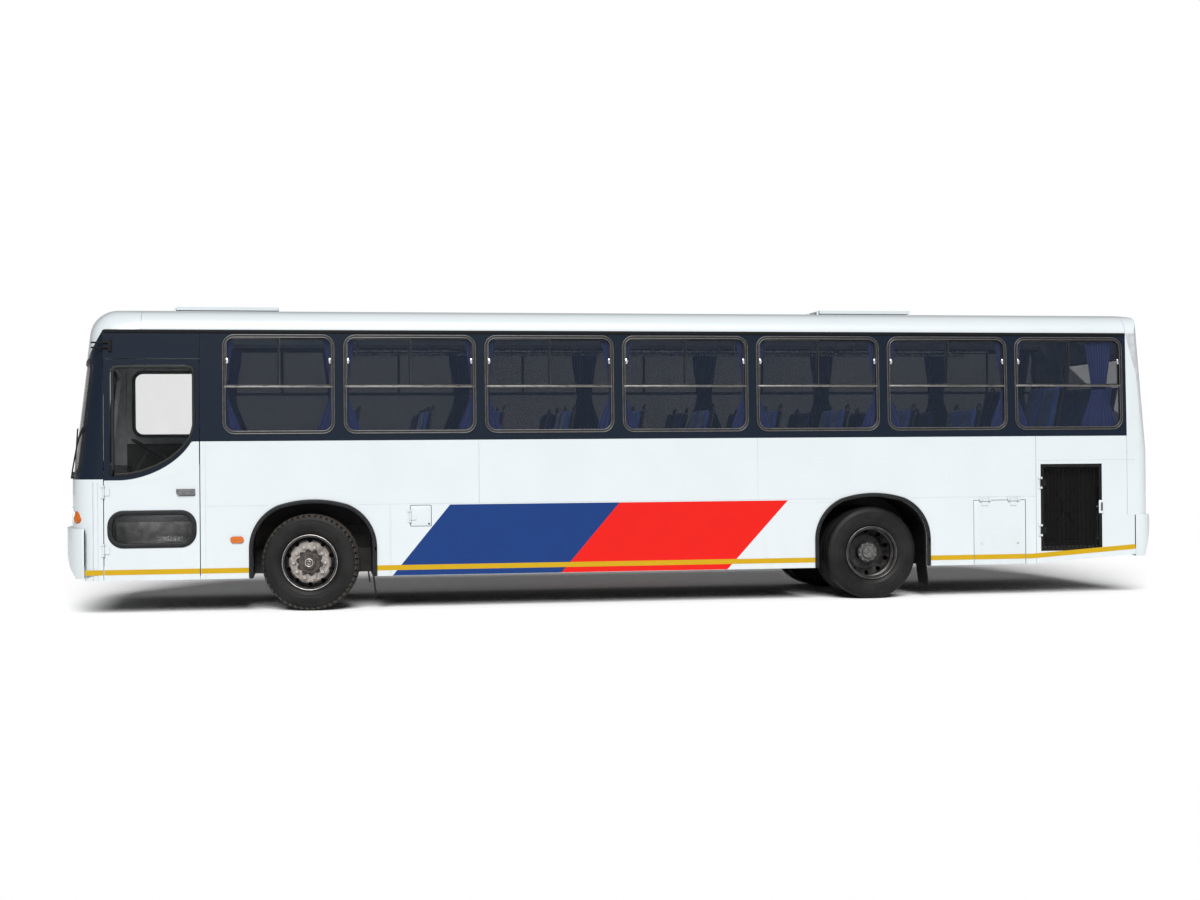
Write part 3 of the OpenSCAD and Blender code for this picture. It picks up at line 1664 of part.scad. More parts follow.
// Grille door over the radiator
module radiator_door() {
  x0 = radiator_x;
  x1 = x0 + radiator_w;
  z1 = radiator_z + radiator_h;
  in_z0 = radiator_z + radiator_frame_w;
  in_z1 = z1 - radiator_frame_w;
  step = (radiator_w - 2 * radiator_frame_w) / (slat_count + 1);
  color(rubber) on_side(LEFT) {
    wall_piece(0, flap_leaf_t, skirt_z, waist_z) difference() {
      rect(x0, x1, radiator_z, z1);
      rect(x0 + radiator_frame_w, x1 - radiator_frame_w, in_z0, in_z1);
    }
    wall_piece(slat_t, 2 * slat_t, skirt_z, waist_z) for (i = [1:slat_count]) {
      x = x0 + radiator_frame_w + i * step;
      rect(x - slat_w / 2, x + slat_w / 2, in_z0 - slat_w, in_z1 + slat_w);
    }
    radiator_hinges() hinge_leaf();
  }
}

module service_flap() {
  color(white) on_side(LEFT) {
    wall_piece(0, flap_leaf_t, skirt_z, waist_z)
      rect(service_x, service_x + service_w, skirt_z, service_top_z);
    service_hinges() hinge_leaf();
  }
}

module fuel_flap() {
  color(white) on_side(LEFT) {
    wall_piece(0, flap_leaf_t, skirt_z, waist_z)
      round_rect(front_x + fuel_s, front_x + fuel_s + fuel_w, fuel_z, fuel_z + fuel_w, lid_gap);
    fuel_hinge() hinge_leaf();
  }
}

// Engine lid in the tail with louvres
module engine_lid() {
  step = lid_h / (louvre_count + 1);
  color(white) {
    difference() {
      block(tail_x - flap_leaf_t, tail_x, -lid_half_w, lid_half_w, lid_z, lid_z + lid_h);
      for (i = [1:louvre_count]) block(tail_x - tail_r, tail_x + wall_t, -louvre_w / 2, louvre_w / 2,
        lid_z + i * step - louvre_h / 2, lid_z + i * step + louvre_h / 2);
    }
    lid_hinges() hinge_leaf();
  }
}

// Roof hatches: a flat lid over the lip
module roof_hatch(i) {
  color(white) difference() {
    along_z(body_h + coaming_h + clear_gap - hatch_t, body_h + coaming_h + clear_gap + hatch_t / 2)
      hatch_rect(i, 0);
    along_z(gutter_z, body_h + coaming_h + clear_gap) hatch_rect(i, -hatch_lip + lid_gap);
  }
  color(white) hatch_hinges(i) hatch_leaf();
}

module roof_hatch_front() { roof_hatch(0); }
module roof_hatch_rear() { roof_hatch(1); }

// Point i of the tyre's section on one side, and the section spun about the wheel's axis
function tyre_point(end, i) = [bead_r + fit_gap + (tyre_d / 2 - bead_r - fit_gap) * tyre_shares[i][1],
  end * tyre_w / 2 * tyre_shares[i][0]];

module tyre() {
  r = tyre_d / 2;
  last = len(tyre_shares) - 1;
  rotate([-90, 0, 0]) rotate_extrude($fn = 96) difference() {
    polygon([for (end = ENDS) for (i = [0:last]) tyre_point(end, end < 0 ? i : last - i)]);
    for (y = groove_ys) translate([r - groove_d, y - groove_w / 2]) square([groove_w + groove_d, groove_w]);
  }
}

// Rim barrel with its two flanges, about the axis
module rim_outline() {
  h = rim_w / 2;
  polygon([[rim_d / 2 - rim_t * 2, -h], [rim_d / 2, -h], [rim_d / 2, -h + rim_t], [bead_r, -h + 2 * rim_t],
    [bead_r, h - 2 * rim_t], [rim_d / 2, h - rim_t], [rim_d / 2, h], [rim_d / 2 - rim_t * 2, h],
    [bead_r - rim_t, h - 3 * rim_t], [bead_r - rim_t, -h + 3 * rim_t]]);
}

// Dished disc from the barrel to its nut face
module disc_outline(foot, face) {
  dir = face > foot ? 1 : -1;
  polygon([[bead_r - rim_t / 2, foot - dir * disc_t], [bead_r - rim_t / 2, foot + dir * disc_t],
    [face_r, face],
    [hub_r - disc_t, face], [hub_r - disc_t, face - dir * disc_t], [face_r - disc_t, face - dir * disc_t]]);
}

module nuts(face, high) {
  for (i = [0:nut_count - 1]) rotate(i * 360 / nut_count)
    translate([nut_circle, 0, face]) cylinder(h = high, r = nut_r, $fn = 6);
}

module hand_holes(z0, z1) {
  for (i = [0:nut_count - 1]) rotate((i + 1 / 2) * 360 / nut_count)
    translate([hole_circle, 0, z0]) cylinder(h = z1 - z0, r = hole_r);
}

// Steered wheel: nut face outward, hub on the spindle
module front_wheel_solid() {
  rotate([-90, 0, 0]) difference() {
    union() {
      rotate_extrude($fn = 96) {
        rim_outline();
        disc_outline(front_foot, front_face);
        rect(0, hub_r, -hub_in, hub_out);
        rect(0, cap_r, hub_out - sliver, hub_out + cap_h);
      }
      nuts(front_face - sliver, nut_h + sliver);
    }
    hand_holes(0, front_face);
    translate([0, 0, -body_w]) cylinder(h = body_w + hub_out, r = spindle_r + run_gap);
  }
}

// Twin wheel: two dished discs back to back on one hub
module rear_wheel_solid() {
  half = twin_pitch / 2;
  rotate([-90, 0, 0]) difference() {
    union() {
      rotate_extrude($fn = 96) {
        for (end = ENDS) translate([0, end * half]) rim_outline();
        translate([0, half]) disc_outline(rear_foot, -half + disc_t);
        translate([0, -half]) disc_outline(-rear_foot, half - disc_t);
        rect(0, face_r - disc_t, -disc_t - sliver, disc_t + sliver);
        rect(0, hub_r, -half, half - hub_in / 2);
        rect(0, cap_r, half - hub_in / 2 - sliver, half - hub_in / 2 + cap_h);
      }
      nuts(disc_t, nut_h);
      for (i = [0:nut_count - 1]) rotate(i * 360 / nut_count)
        translate([shaft_bolt_circle, 0, half - hub_in / 2 - sliver])
          cylinder(h = shaft_bolt_h + sliver, r = shaft_bolt_r, $fn = 6);
    }
    hand_holes(-body_w, body_w);
    translate([0, 0, -body_w]) cylinder(h = body_w + hub_in, r = stub_r + run_gap);
  }
}

module front_place(side) {
  steered(side) on_side(side) translate([front_axle_x, front_tyre_y, wheel_z]) children();
}

module rear_place(side) {
  on_side(side) translate([rear_axle_x, rear_tyre_y - twin_pitch / 2, wheel_z]) children();
}

module twin_tyres(side) {
  rear_place(side) for (end = ENDS) translate([0, end * twin_pitch / 2, 0]) tyre();
}

module front_left_tyre() { color(rubber) front_place(LEFT) tyre(); }
module front_right_tyre() { color(rubber) front_place(RIGHT) tyre(); }
module front_left_wheel() { color(steel) front_place(LEFT) front_wheel_solid(); }
module front_right_wheel() { color(steel) front_place(RIGHT) front_wheel_solid(); }
module rear_left_tyres() { color(rubber) twin_tyres(LEFT); }
module rear_right_tyres() { color(rubber) twin_tyres(RIGHT); }
module rear_left_wheels() { color(dark) rear_place(LEFT) rear_wheel_solid(); }
module rear_right_wheels() { color(dark) rear_place(RIGHT) rear_wheel_solid(); }

side_skirts();
side_waists();
window_walls();
roof_panel();
front_dome();
front_fascia();
screen_surround();
windscreen();
rear_wall();
windows();
window_frames();
front_bumper();
rear_bumper();
arch_trims();
wheel_housings();
headlamps();
amber_lamps();
tail_lamps();
mirrors();
wipers();
floor();
entry_steps();
rear_deck();
chassis_frame();
front_axle();
rear_axle();
leaf_springs();
engine();
radiator();
tanks();
seat_frames();
seat_pads();
dash();
curtains();
door_lower();
door_upper();
door_glass();
radiator_door();
service_flap();
fuel_flap();
engine_lid();
roof_hatch_front();
roof_hatch_rear();
knuckle_left();
knuckle_right();
tie_rod();
front_left_tyre();
front_left_wheel();
front_right_tyre();
front_right_wheel();
rear_left_tyres();
rear_left_wheels();
rear_right_tyres();
rear_right_wheels();
steering_wheel();
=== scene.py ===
# Looks of a single-deck passenger bus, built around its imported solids.
# Lengths are in metres: X runs from nose to tail, Y to the right-hand side, Z up.
import math

import bmesh
import bpy
from mathutils import Matrix, Vector


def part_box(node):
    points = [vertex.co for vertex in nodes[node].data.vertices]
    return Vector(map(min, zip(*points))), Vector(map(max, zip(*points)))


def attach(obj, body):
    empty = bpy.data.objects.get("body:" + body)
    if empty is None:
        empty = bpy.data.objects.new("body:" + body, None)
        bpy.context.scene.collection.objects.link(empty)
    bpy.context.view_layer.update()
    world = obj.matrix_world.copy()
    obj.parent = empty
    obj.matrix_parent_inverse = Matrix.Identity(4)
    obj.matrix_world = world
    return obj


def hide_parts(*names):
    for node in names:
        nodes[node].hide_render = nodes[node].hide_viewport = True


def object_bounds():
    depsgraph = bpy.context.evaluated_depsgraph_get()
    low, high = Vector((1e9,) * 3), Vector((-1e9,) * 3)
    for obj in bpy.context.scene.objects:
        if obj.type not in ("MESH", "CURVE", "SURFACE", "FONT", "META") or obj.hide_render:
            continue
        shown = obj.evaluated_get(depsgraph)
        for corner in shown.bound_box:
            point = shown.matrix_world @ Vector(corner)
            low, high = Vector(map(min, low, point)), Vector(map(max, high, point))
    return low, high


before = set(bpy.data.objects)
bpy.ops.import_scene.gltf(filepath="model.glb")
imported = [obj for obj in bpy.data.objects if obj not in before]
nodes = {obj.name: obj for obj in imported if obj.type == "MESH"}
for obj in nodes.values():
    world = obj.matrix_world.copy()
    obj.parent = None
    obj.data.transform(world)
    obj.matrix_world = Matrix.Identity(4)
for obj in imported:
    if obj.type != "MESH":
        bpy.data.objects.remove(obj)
cad_low, cad_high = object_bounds()
scene = bpy.context.scene

LEFT = -1
RIGHT = 1
SIDES = (LEFT, RIGHT)
SIDE_NAMES = {LEFT: "left", RIGHT: "right"}

# Sizes of the bus that the dressing follows
half_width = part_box("side_waists")[1].y
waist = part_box("window_walls")[0].z
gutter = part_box("window_walls")[1].z
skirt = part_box("side_skirts")[0].z
front_x = cad_low.x
back_x = cad_high.x
tumble = 0.03
wall = 0.05
arch_half = 0.672
front_axle_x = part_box("arch_trims")[0].x + arch_half
rear_axle_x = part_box("arch_trims")[1].x - arch_half
steer_rest = math.radians(-8)
window_foot = 1.881
window_top = gutter - 0.042
divider_share = 0.4746
divider = window_foot + (window_top - window_foot) * divider_share
frame_width = 0.04
first_window = (front_x + 1.707, 1.178)
window_post = 0.088
middle_window = 1.422
last_window = 1.308
window_count = 7
kink_x = back_x - 1.491
cap_low_x = back_x - 0.23
kink_rise = 0.09
door_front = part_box("door_upper")[0].x
door_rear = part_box("door_upper")[1].x
door_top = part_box("door_upper")[1].z
nose_x = front_x + 0.058
nose_radius = 4.5
corner_radius = 0.3
corner_y = half_width - corner_radius
screen_base = 1.42
rake = math.radians(7.1)
tail_x = back_x - 0.04
tail_kink = 1.64
tail_lean = math.radians(4.6)


def wall_y(z):
    """Distance of the side wall's outer face from the centre line at a height."""
    return half_width - tumble * max(0.0, (z - waist) / (gutter - waist))


def window_span(i):
    """Front and rear edge of side window number i."""
    if i == 0:
        start, width = first_window
    else:
        start = first_window[0] + first_window[1] + window_post
        start += (i - 1) * (middle_window + window_post)
        width = middle_window if i < window_count - 1 else last_window
    return start, start + width


def skirt_low(x):
    """Height of the skirt's lower edge, which rises behind the kink."""
    if x < kink_x:
        return skirt
    return skirt + kink_rise * (x - kink_x) / (cap_low_x - kink_x)


def nose_plan(y):
    """Front of the body in plan at a distance from the centre line."""
    centre = nose_x + nose_radius
    corner_x = centre - math.sqrt((nose_radius - corner_radius) ** 2 - corner_y**2)
    if abs(y) < corner_y * nose_radius / (nose_radius - corner_radius):
        return centre - math.sqrt(nose_radius**2 - y * y)
    reach = min(abs(y) - corner_y, corner_radius)
    return corner_x - math.sqrt(corner_radius**2 - reach * reach)


def screen_x(y, z):
    """Front of the raked screen at a distance from the centre line and a height."""
    back = nose_plan(y) - nose_x
    along = (z - screen_base + back * math.sin(rake)) / math.cos(rake)
    return nose_x + back * math.cos(rake) + along * math.sin(rake)


# Shaders


class Tone:
    """A shader value that takes part in sums as a number does."""

    def __init__(self, finish, socket):
        self.finish = finish
        self.socket = socket

    def reckon(self, operation, first, second):
        terms = {0: first, 1: second}
        return self.finish.node("ShaderNodeMath", {"operation": operation}, terms)

    def __add__(self, other):
        return self.reckon("ADD", self, other)

    def __radd__(self, other):
        return self.reckon("ADD", other, self)

    def __mul__(self, other):
        return self.reckon("MULTIPLY", self, other)

    def __rmul__(self, other):
        return self.reckon("MULTIPLY", other, self)


class Finish:
    """A material with one principled shader, fed by values and tones."""

    def __init__(self, name, **sockets):
        self.material = bpy.data.materials.new(name)
        self.material.use_nodes = True
        self.tree = self.material.node_tree
        self.shader = next(n for n in self.tree.nodes if n.type == "BSDF_PRINCIPLED")
        self.set(**sockets)

    def set(self, **sockets):
        for name, value in sockets.items():
            self.feed(self.shader.inputs[name.replace("_", " ")], value)

    def feed(self, socket, value):
        if isinstance(value, Tone):
            self.tree.links.new(value.socket, socket)
        elif socket.type == "RGBA":
            socket.default_value = (*value[:3], 1.0)
        else:
            socket.default_value = value

    def node(self, kind, settings=None, inputs=None, output=0):
        made = self.tree.nodes.new(kind)
        for key, value in (settings or {}).items():
            setattr(made, key, value)
        for key, value in (inputs or {}).items():
            self.feed(made.inputs[key], value)
        return Tone(self, made.outputs[output])

    def spot(self):
        return self.node("ShaderNodeTexCoord", output="Object")

    def place(self, scale=(1, 1, 1)):
        return self.node("ShaderNodeMapping", None, {"Vector": self.spot(), "Scale": scale})

    def noise(self, scale, detail=2.0, stretch=(1, 1, 1)):
        inputs = {"Vector": self.place(stretch), "Scale": scale, "Detail": detail}
        return self.node("ShaderNodeTexNoise", None, inputs)

    def bands(self, axis, scale):
        settings = {"wave_type": "BANDS", "bands_direction": axis}
        return self.node("ShaderNodeTexWave", settings, {"Vector": self.place(), "Scale": scale}, "Fac")

    def height(self):
        return self.node("ShaderNodeSeparateXYZ", None, {"Vector": self.spot()}, "Z")

    def ramp(self, tone, low, high):
        inputs = {"Value": tone, "From Min": low, "From Max": high}
        return self.node("ShaderNodeMapRange", {"clamp": True}, inputs)

    def mix(self, share, first, second):
        inputs = {0: share, 6: first, 7: second}
        return self.node("ShaderNodeMix", {"data_type": "RGBA"}, inputs, 2)

    def bump(self, height, strength, distance):
        inputs = {"Height": height, "Strength": strength, "Distance": distance}
        return self.node("ShaderNodeBump", None, inputs)


def painted(name, colour, rough, coat, dirt=0.15, **sockets):
    """Sprayed panel paint with a faint drift of tone and dust thrown up near the road."""
    made = Finish(name, Coat_Weight=coat, Coat_Roughness=0.06, **sockets)
    drift = made.noise(1.6, 3.0)
    streak = made.noise(9.0, 4.0, (1, 1, 0.25))
    low = made.ramp(made.height(), 0.95, 0.3)
    dust = low * made.ramp(streak, 0.42, 0.75) * dirt
    shade = tuple(0.965 * c for c in colour)
    body = made.mix(made.ramp(drift, 0.3, 0.7), colour, shade)
    made.set(Base_Color=made.mix(dust, body, (0.36, 0.33, 0.29)))
    made.set(Roughness=rough + 0.05 * drift + 0.25 * dust)
    made.set(Normal=made.bump(made.noise(210.0, 2.0), 0.03, 0.0004))
    return made.material


def mottled(name, dark, light, rough, metal, scale, grain=240.0, **sockets):
    """A finish that drifts between two tones with a fine grain."""
    made = Finish(name, Metallic=metal, **sockets)
    patch = made.ramp(made.noise(scale, 5.0), 0.35, 0.68)
    made.set(Base_Color=made.mix(patch, dark, light))
    made.set(Roughness=rough + 0.12 * patch)
    made.set(Normal=made.bump(made.noise(grain, 3.0), 0.12, 0.001))
    return made.material


def glazed(name, colour, cover, specular=0.5):
    """Sheet glass that covers a share of what lies behind it."""
    made = Finish(name, Base_Color=colour, IOR=1.5, Specular_IOR_Level=specular)
    film = made.noise(2.3, 4.0, (1, 1, 0.4))
    made.set(Roughness=0.03 + 0.03 * film)
    made.set(Alpha=cover + 0.06 * film)
    return made.material


def lens(name, deep, bright, scale, axis):
    """A moulded lamp lens with ribs."""
    made = Finish(name, Specular_IOR_Level=0.12)
    rib = made.bands(axis, scale)
    made.set(Base_Color=made.mix(rib, deep, bright), Roughness=0.14 + 0.1 * rib)
    made.set(Normal=made.bump(rib, 0.35, 0.003))
    return made.material


def woven(name, dark, light, pitch):
    """Cloth with a crossed weave and soft patches."""
    made = Finish(name, Sheen_Weight=0.25, Sheen_Roughness=0.4)
    weave = made.bands("X", pitch) * 0.5 + made.bands("Z", pitch) * 0.5
    patch = made.ramp(made.noise(11.0, 3.0), 0.3, 0.7)
    made.set(Base_Color=made.mix(0.55 * weave + 0.45 * patch, dark, light))
    made.set(Roughness=0.78 + 0.12 * patch)
    made.set(Normal=made.bump(weave, 0.25, 0.0006))
    return made.material


def decal(name, colour):
    """Vinyl film with a slight orange-peel gloss."""
    made = Finish(name, Specular_IOR_Level=0.15)
    drift = made.noise(5.0, 3.0)
    worn = tuple(0.95 * c for c in colour)
    made.set(Base_Color=made.mix(made.ramp(drift, 0.35, 0.7), colour, worn))
    made.set(Roughness=0.32 + 0.08 * drift)
    made.set(Normal=made.bump(made.noise(180.0, 2.0), 0.04, 0.0004))
    return made.material


coach_white = painted("coach_white", (0.484, 0.522, 0.538), 0.32, 0.2)
band_black = painted("band_black", (0.0052, 0.0098, 0.018), 0.3, 0.0, 0.05, Specular_IOR_Level=0.14)
side_glass = glazed("side_glass", (0.012, 0.018, 0.03), 0.36)
# A deeper tint for the glass on the far side: painted shade that darkens the view through the bus
far_glass_painted_shade = glazed("far_glass_painted_shade", (0.01, 0.013, 0.02), 0.72)
front_glass = glazed("front_glass", (0.008, 0.016, 0.014), 0.4, specular=0.22)
clear_glass = glazed("clear_glass", (0.03, 0.036, 0.036), 0.04)
frame_alloy = mottled("frame_alloy", (0.008, 0.008, 0.0085), (0.016, 0.0155, 0.0155), 0.3, 0.2, 30.0)
# Light grey alloy for the divider bars, and for the thin crests on the window beads, where it is a painted
# highlight
bar_alloy_and_crest_highlight = mottled("bar_alloy_and_crest_highlight", (0.085, 0.084, 0.084), (0.15, 0.146, 0.143), 0.3, 0.5, 26.0)
trim_rubber = mottled(
    "trim_rubber", (0.0042, 0.0046, 0.0054), (0.009, 0.0095, 0.0106), 0.42, 0.0, 18.0, Specular_IOR_Level=0.22
)
tyre_wall = mottled(
    "tyre_wall", (0.004, 0.004, 0.0039), (0.01, 0.0096, 0.0093), 0.48, 0.0, 6.0, Specular_IOR_Level=0.16
)
tyre_tread = mottled("tyre_tread", (0.014, 0.0125, 0.011), (0.05, 0.04, 0.03), 0.82, 0.0, 30.0)
# Bright metal for latches, locks and lamp rims, and for the step's kick strip, where it is partly painted
# light
bright_latch = mottled("bright_latch", (0.55, 0.55, 0.56), (0.72, 0.72, 0.73), 0.22, 0.9, 40.0)
bare_steel = mottled("bare_steel", (0.2, 0.2, 0.205), (0.33, 0.33, 0.33), 0.34, 0.8, 20.0)
grille_black = mottled(
    "grille_black", (0.0025, 0.0025, 0.0028), (0.006, 0.006, 0.0064), 0.6, 0.0, 20.0, Specular_IOR_Level=0.15
)
chassis_black = mottled("chassis_black", (0.012, 0.012, 0.012), (0.04, 0.037, 0.033), 0.6, 0.1, 7.0)
cast_iron = mottled("cast_iron", (0.05, 0.05, 0.052), (0.12, 0.11, 0.1), 0.55, 0.5, 12.0)
alloy_grey = mottled("alloy_grey", (0.06, 0.062, 0.065), (0.13, 0.13, 0.13), 0.45, 0.6, 10.0)
floor_vinyl = mottled("floor_vinyl", (0.12, 0.125, 0.13), (0.19, 0.195, 0.2), 0.6, 0.0, 90.0)
step_plate = mottled("step_plate", (0.26, 0.255, 0.25), (0.5, 0.495, 0.49), 0.36, 0.3, 12.0)
dash_plastic = mottled("dash_plastic", (0.03, 0.031, 0.033), (0.052, 0.054, 0.056), 0.55, 0.0, 30.0, 520.0)
seat_black = mottled("seat_black", (0.012, 0.012, 0.013), (0.03, 0.03, 0.032), 0.4, 0.0, 20.0)
rail_steel = mottled("rail_steel", (0.45, 0.45, 0.46), (0.62, 0.62, 0.63), 0.2, 0.9, 30.0)
wheel_worn = mottled("wheel_worn", (0.13, 0.105, 0.092), (0.3, 0.275, 0.255), 0.4, 0.4, 17.0, 160.0)
wheel_dark = mottled("wheel_dark", (0.01, 0.01, 0.01), (0.034, 0.032, 0.031), 0.36, 0.4, 15.0)
hub_rust = mottled("hub_rust", (0.016, 0.013, 0.012), (0.07, 0.055, 0.046), 0.5, 0.35, 34.0)
hub_grey = mottled("hub_grey", (0.06, 0.059, 0.058), (0.12, 0.118, 0.116), 0.42, 0.4, 40.0)
handle_grey = mottled("handle_grey", (0.07, 0.07, 0.074), (0.12, 0.12, 0.125), 0.4, 0.2, 30.0)
seam_grey = mottled("seam_grey", (0.34, 0.36, 0.37), (0.42, 0.44, 0.45), 0.5, 0.0, 9.0)
lining_grey = mottled("lining_grey", (0.3, 0.315, 0.33), (0.4, 0.415, 0.43), 0.6, 0.0, 12.0)
# Lighter metal for the rings on the rear rims: a painted highlight
rim_ring_highlight = mottled("rim_ring_highlight", (0.03, 0.028, 0.026), (0.12, 0.112, 0.105), 0.3, 0.6, 7.0)
# Bright steel for the nuts and hub caps, and for the front rims' lip rings, where it is a painted highlight
nut_steel_and_lip_highlight = mottled("nut_steel_and_lip_highlight", (0.22, 0.2, 0.185), (0.46, 0.44, 0.42), 0.36, 0.7, 60.0)
clear_lens = lens("clear_lens", (0.55, 0.58, 0.6), (0.86, 0.88, 0.9), 32.0, "Y")
amber_lens = lens("amber_lens", (0.24, 0.034, 0.001), (0.6, 0.15, 0.001), 46.0, "Z")
red_lens = lens("red_lens", (0.22, 0.004, 0.004), (0.46, 0.01, 0.01), 34.0, "Y")
curtain_blue = woven("curtain_blue", (0.03, 0.04, 0.16), (0.06, 0.085, 0.34), 420.0)
seat_blue = woven("seat_blue", (0.02, 0.045, 0.17), (0.05, 0.11, 0.38), 300.0)
stripe_blue = decal("stripe_blue", (0.0061, 0.029, 0.131))
stripe_red = decal("stripe_red", (0.53, 0.0084, 0.0054))
stripe_yellow = decal("stripe_yellow", (0.41, 0.25, 0.0056))

# Solids that keep their own shape

DRESS = {
    coach_white: "side_skirts side_waists front_fascia rear_wall front_bumper rear_bumper door_lower"
    " service_flap fuel_flap engine_lid roof_panel front_dome roof_hatch_front roof_hatch_rear",
    band_black: "window_walls screen_surround door_upper",
    side_glass: "windows",
    front_glass: "windscreen",
    clear_glass: "door_glass",
    trim_rubber: "arch_trims wheel_housings wipers steering_wheel",
    grille_black: "radiator_door radiator mirrors",
    clear_lens: "headlamps",
    amber_lens: "amber_lamps",
    red_lens: "tail_lamps",
    floor_vinyl: "floor entry_steps rear_deck",
    chassis_black: "chassis_frame front_axle rear_axle leaf_springs",
    cast_iron: "engine",
    alloy_grey: "tanks",
    seat_black: "seat_frames",
    dash_plastic: "dash",
    bare_steel: "knuckle_left knuckle_right tie_rod",
    wheel_worn: "front_left_wheel front_right_wheel",
    wheel_dark: "rear_left_wheels rear_right_wheels",
}
ROUNDED = {
    "arch_trims": 0.009,
    "front_bumper": 0.012,
    "rear_bumper": 0.012,
    "mirrors": 0.006,
    "service_flap": 0.002,
    "fuel_flap": 0.002,
}
WELD_GAP = 0.00002
ROUND_ANGLE = math.radians(40)
SPLIT_ANGLE = math.radians(32)


def dress(node, finish):
    """Gives a solid its finish, smooth curves and, where it has one, a rounded edge."""
    solid = nodes[node]
    solid.data.materials.clear()
    solid.data.materials.append(finish)
    for face in solid.data.polygons:
        face.use_smooth = True
    weld = solid.modifiers.new("weld", "WELD")
    weld.merge_threshold = WELD_GAP
    if node in ROUNDED:
        edge = solid.modifiers.new("edge", "BEVEL")
        edge.width = ROUNDED[node]
        edge.segments = 3
        edge.limit_method = "ANGLE"
        edge.angle_limit = ROUND_ANGLE
    split = solid.modifiers.new("split", "EDGE_SPLIT")
    split.split_angle = SPLIT_ANGLE


def dress_parts(node, finishes, choose):
    """Gives faces of one solid further finishes, picked from each face's middle."""
    solid = nodes[node]
    for finish in finishes:
        solid.data.materials.append(finish)
    for face in solid.data.polygons:
        face.material_index = int(choose(solid.matrix_world @ face.center))


for finish, names in DRESS.items():
    for name in names.split():
        dress(name, finish)

# Solids with further finishes

SHEET = 0.004
LINING_DEPTH = 0.03
cab_glass_end = front_x + 1.65
handle_face = -half_width - 0.0015
handle_start = door_rear - 0.3
tail_inside = tail_x - 0.11
tail_side = half_width - 0.02
dome_foot = gutter - 0.08
lining_foot = waist - 0.3


def window_glass(spot):
    """Clear panes beside the driver, and along the right-hand side a deeper tint that is painted shade
    darkening the view through the bus.
    """
    if spot.x < cab_glass_end:
        return 1
    return 2 if spot.y > 0 else 0


def on_handle(spot):
    """Whether a face of the door belongs to its handle."""
    return spot.y < handle_face and spot.x > handle_start


def behind_panel(spot):
    """Whether a face of the lower panels lies inside their outer face."""
    return abs(spot.y) < half_width - SHEET


def inside_wall(spot):
    """Whether a face of a wall lies well inside the outer face of the sides."""
    return abs(spot.y) < wall_y(spot.z) - LINING_DEPTH


def behind_screen(spot):
    """Whether a face of the nose looks into the cab."""
    return inside_wall(spot) and spot.x > screen_x(spot.y, spot.z) + LINING_DEPTH


def behind_tail(spot):
    """Finish of a tail wall's face: white outside, black below and grey above inside."""
    if spot.x > tail_inside or abs(spot.y) > tail_side or spot.z > dome_foot:
        return 0
    return 2 if spot.z > lining_foot else 1


# Far-side panes get the deeper tint, which is painted shade
dress_parts("windows", [clear_glass, far_glass_painted_shade], window_glass)
dress_parts("door_lower", [handle_grey], on_handle)
dress_parts("side_skirts", [chassis_black], behind_panel)
dress_parts("side_waists", [chassis_black], behind_panel)
dress_parts("window_walls", [lining_grey], inside_wall)
dress_parts("screen_surround", [lining_grey], behind_screen)
dress_parts("rear_wall", [chassis_black, lining_grey], behind_tail)

# Helpers for new pieces

CORNER_STEPS = 8


def linked(name, data):
    """Puts a new object into the scene."""
    made = bpy.data.objects.new(name, data)
    scene.collection.objects.link(made)
    return made


def drawn(name, part):
    """A mesh with the shape of a bmesh, which is used up."""
    mesh = bpy.data.meshes.new(name)
    part.to_mesh(mesh)
    part.free()
    return mesh


def stamp(bm, part):
    """Adds a finished part to a piece."""
    mesh = drawn("stamp", part)
    bm.from_mesh(mesh)
    bpy.data.meshes.remove(mesh)


def make_piece(name, bm, body, finish, smooth=35.0):
    """Turns a bmesh into a piece that rides on a body."""
    made = linked(name, drawn(name, bm))
    made.data.materials.append(finish)
    made.data.shade_smooth()
    made.data.set_sharp_from_angle(angle=math.radians(smooth))
    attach(made, body)
    return made


def box_middle(node):
    """Middle of a solid's box."""
    low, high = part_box(node)
    return (low + high) / 2


def move(part, matrix):
    """Carries a whole part to its place."""
    bmesh.ops.transform(part, matrix=matrix, verts=part.verts[:])
    return part


def face_out(part):
    """Turns every face of a part outwards."""
    bmesh.ops.recalc_face_normals(part, faces=part.faces[:])
    return part


def soften(part, geom, width, segments=2, affect="EDGES"):
    """Rounds edges of a part, or corners of a flat plate."""
    bmesh.ops.bevel(
        part,
        geom=geom,
        offset=width,
        offset_type="OFFSET",
        segments=segments,
        profile=0.5,
        affect=affect,
        material=-1,
    )


def block(low, high, edge=0.0, segments=2):
    """A box between two corners, with rounded edges."""
    low = Vector(low)
    high = Vector(high)
    part = bmesh.new()
    size = Matrix.Diagonal((*(high - low), 1.0))
    bmesh.ops.create_cube(part, size=1.0, matrix=Matrix.Translation((low + high) / 2) @ size)
    if edge:
        soften(part, part.edges[:], edge, segments)
    return part


def upright(direction):
    """Turn that carries Z onto a direction."""
    return Vector((0, 0, 1)).rotation_difference(Vector(direction)).to_matrix().to_4x4()


def rod(start, end, radius, sides=12, tip=None):
    """A round bar from one point to another."""
    start = Vector(start)
    end = Vector(end)
    part = bmesh.new()
    bmesh.ops.create_cone(
        part,
        cap_ends=True,
        segments=sides,
        radius1=radius,
        radius2=radius if tip is None else tip,
        depth=(end - start).length,
        matrix=Matrix.Translation((start + end) / 2) @ upright(end - start),
    )
    return part


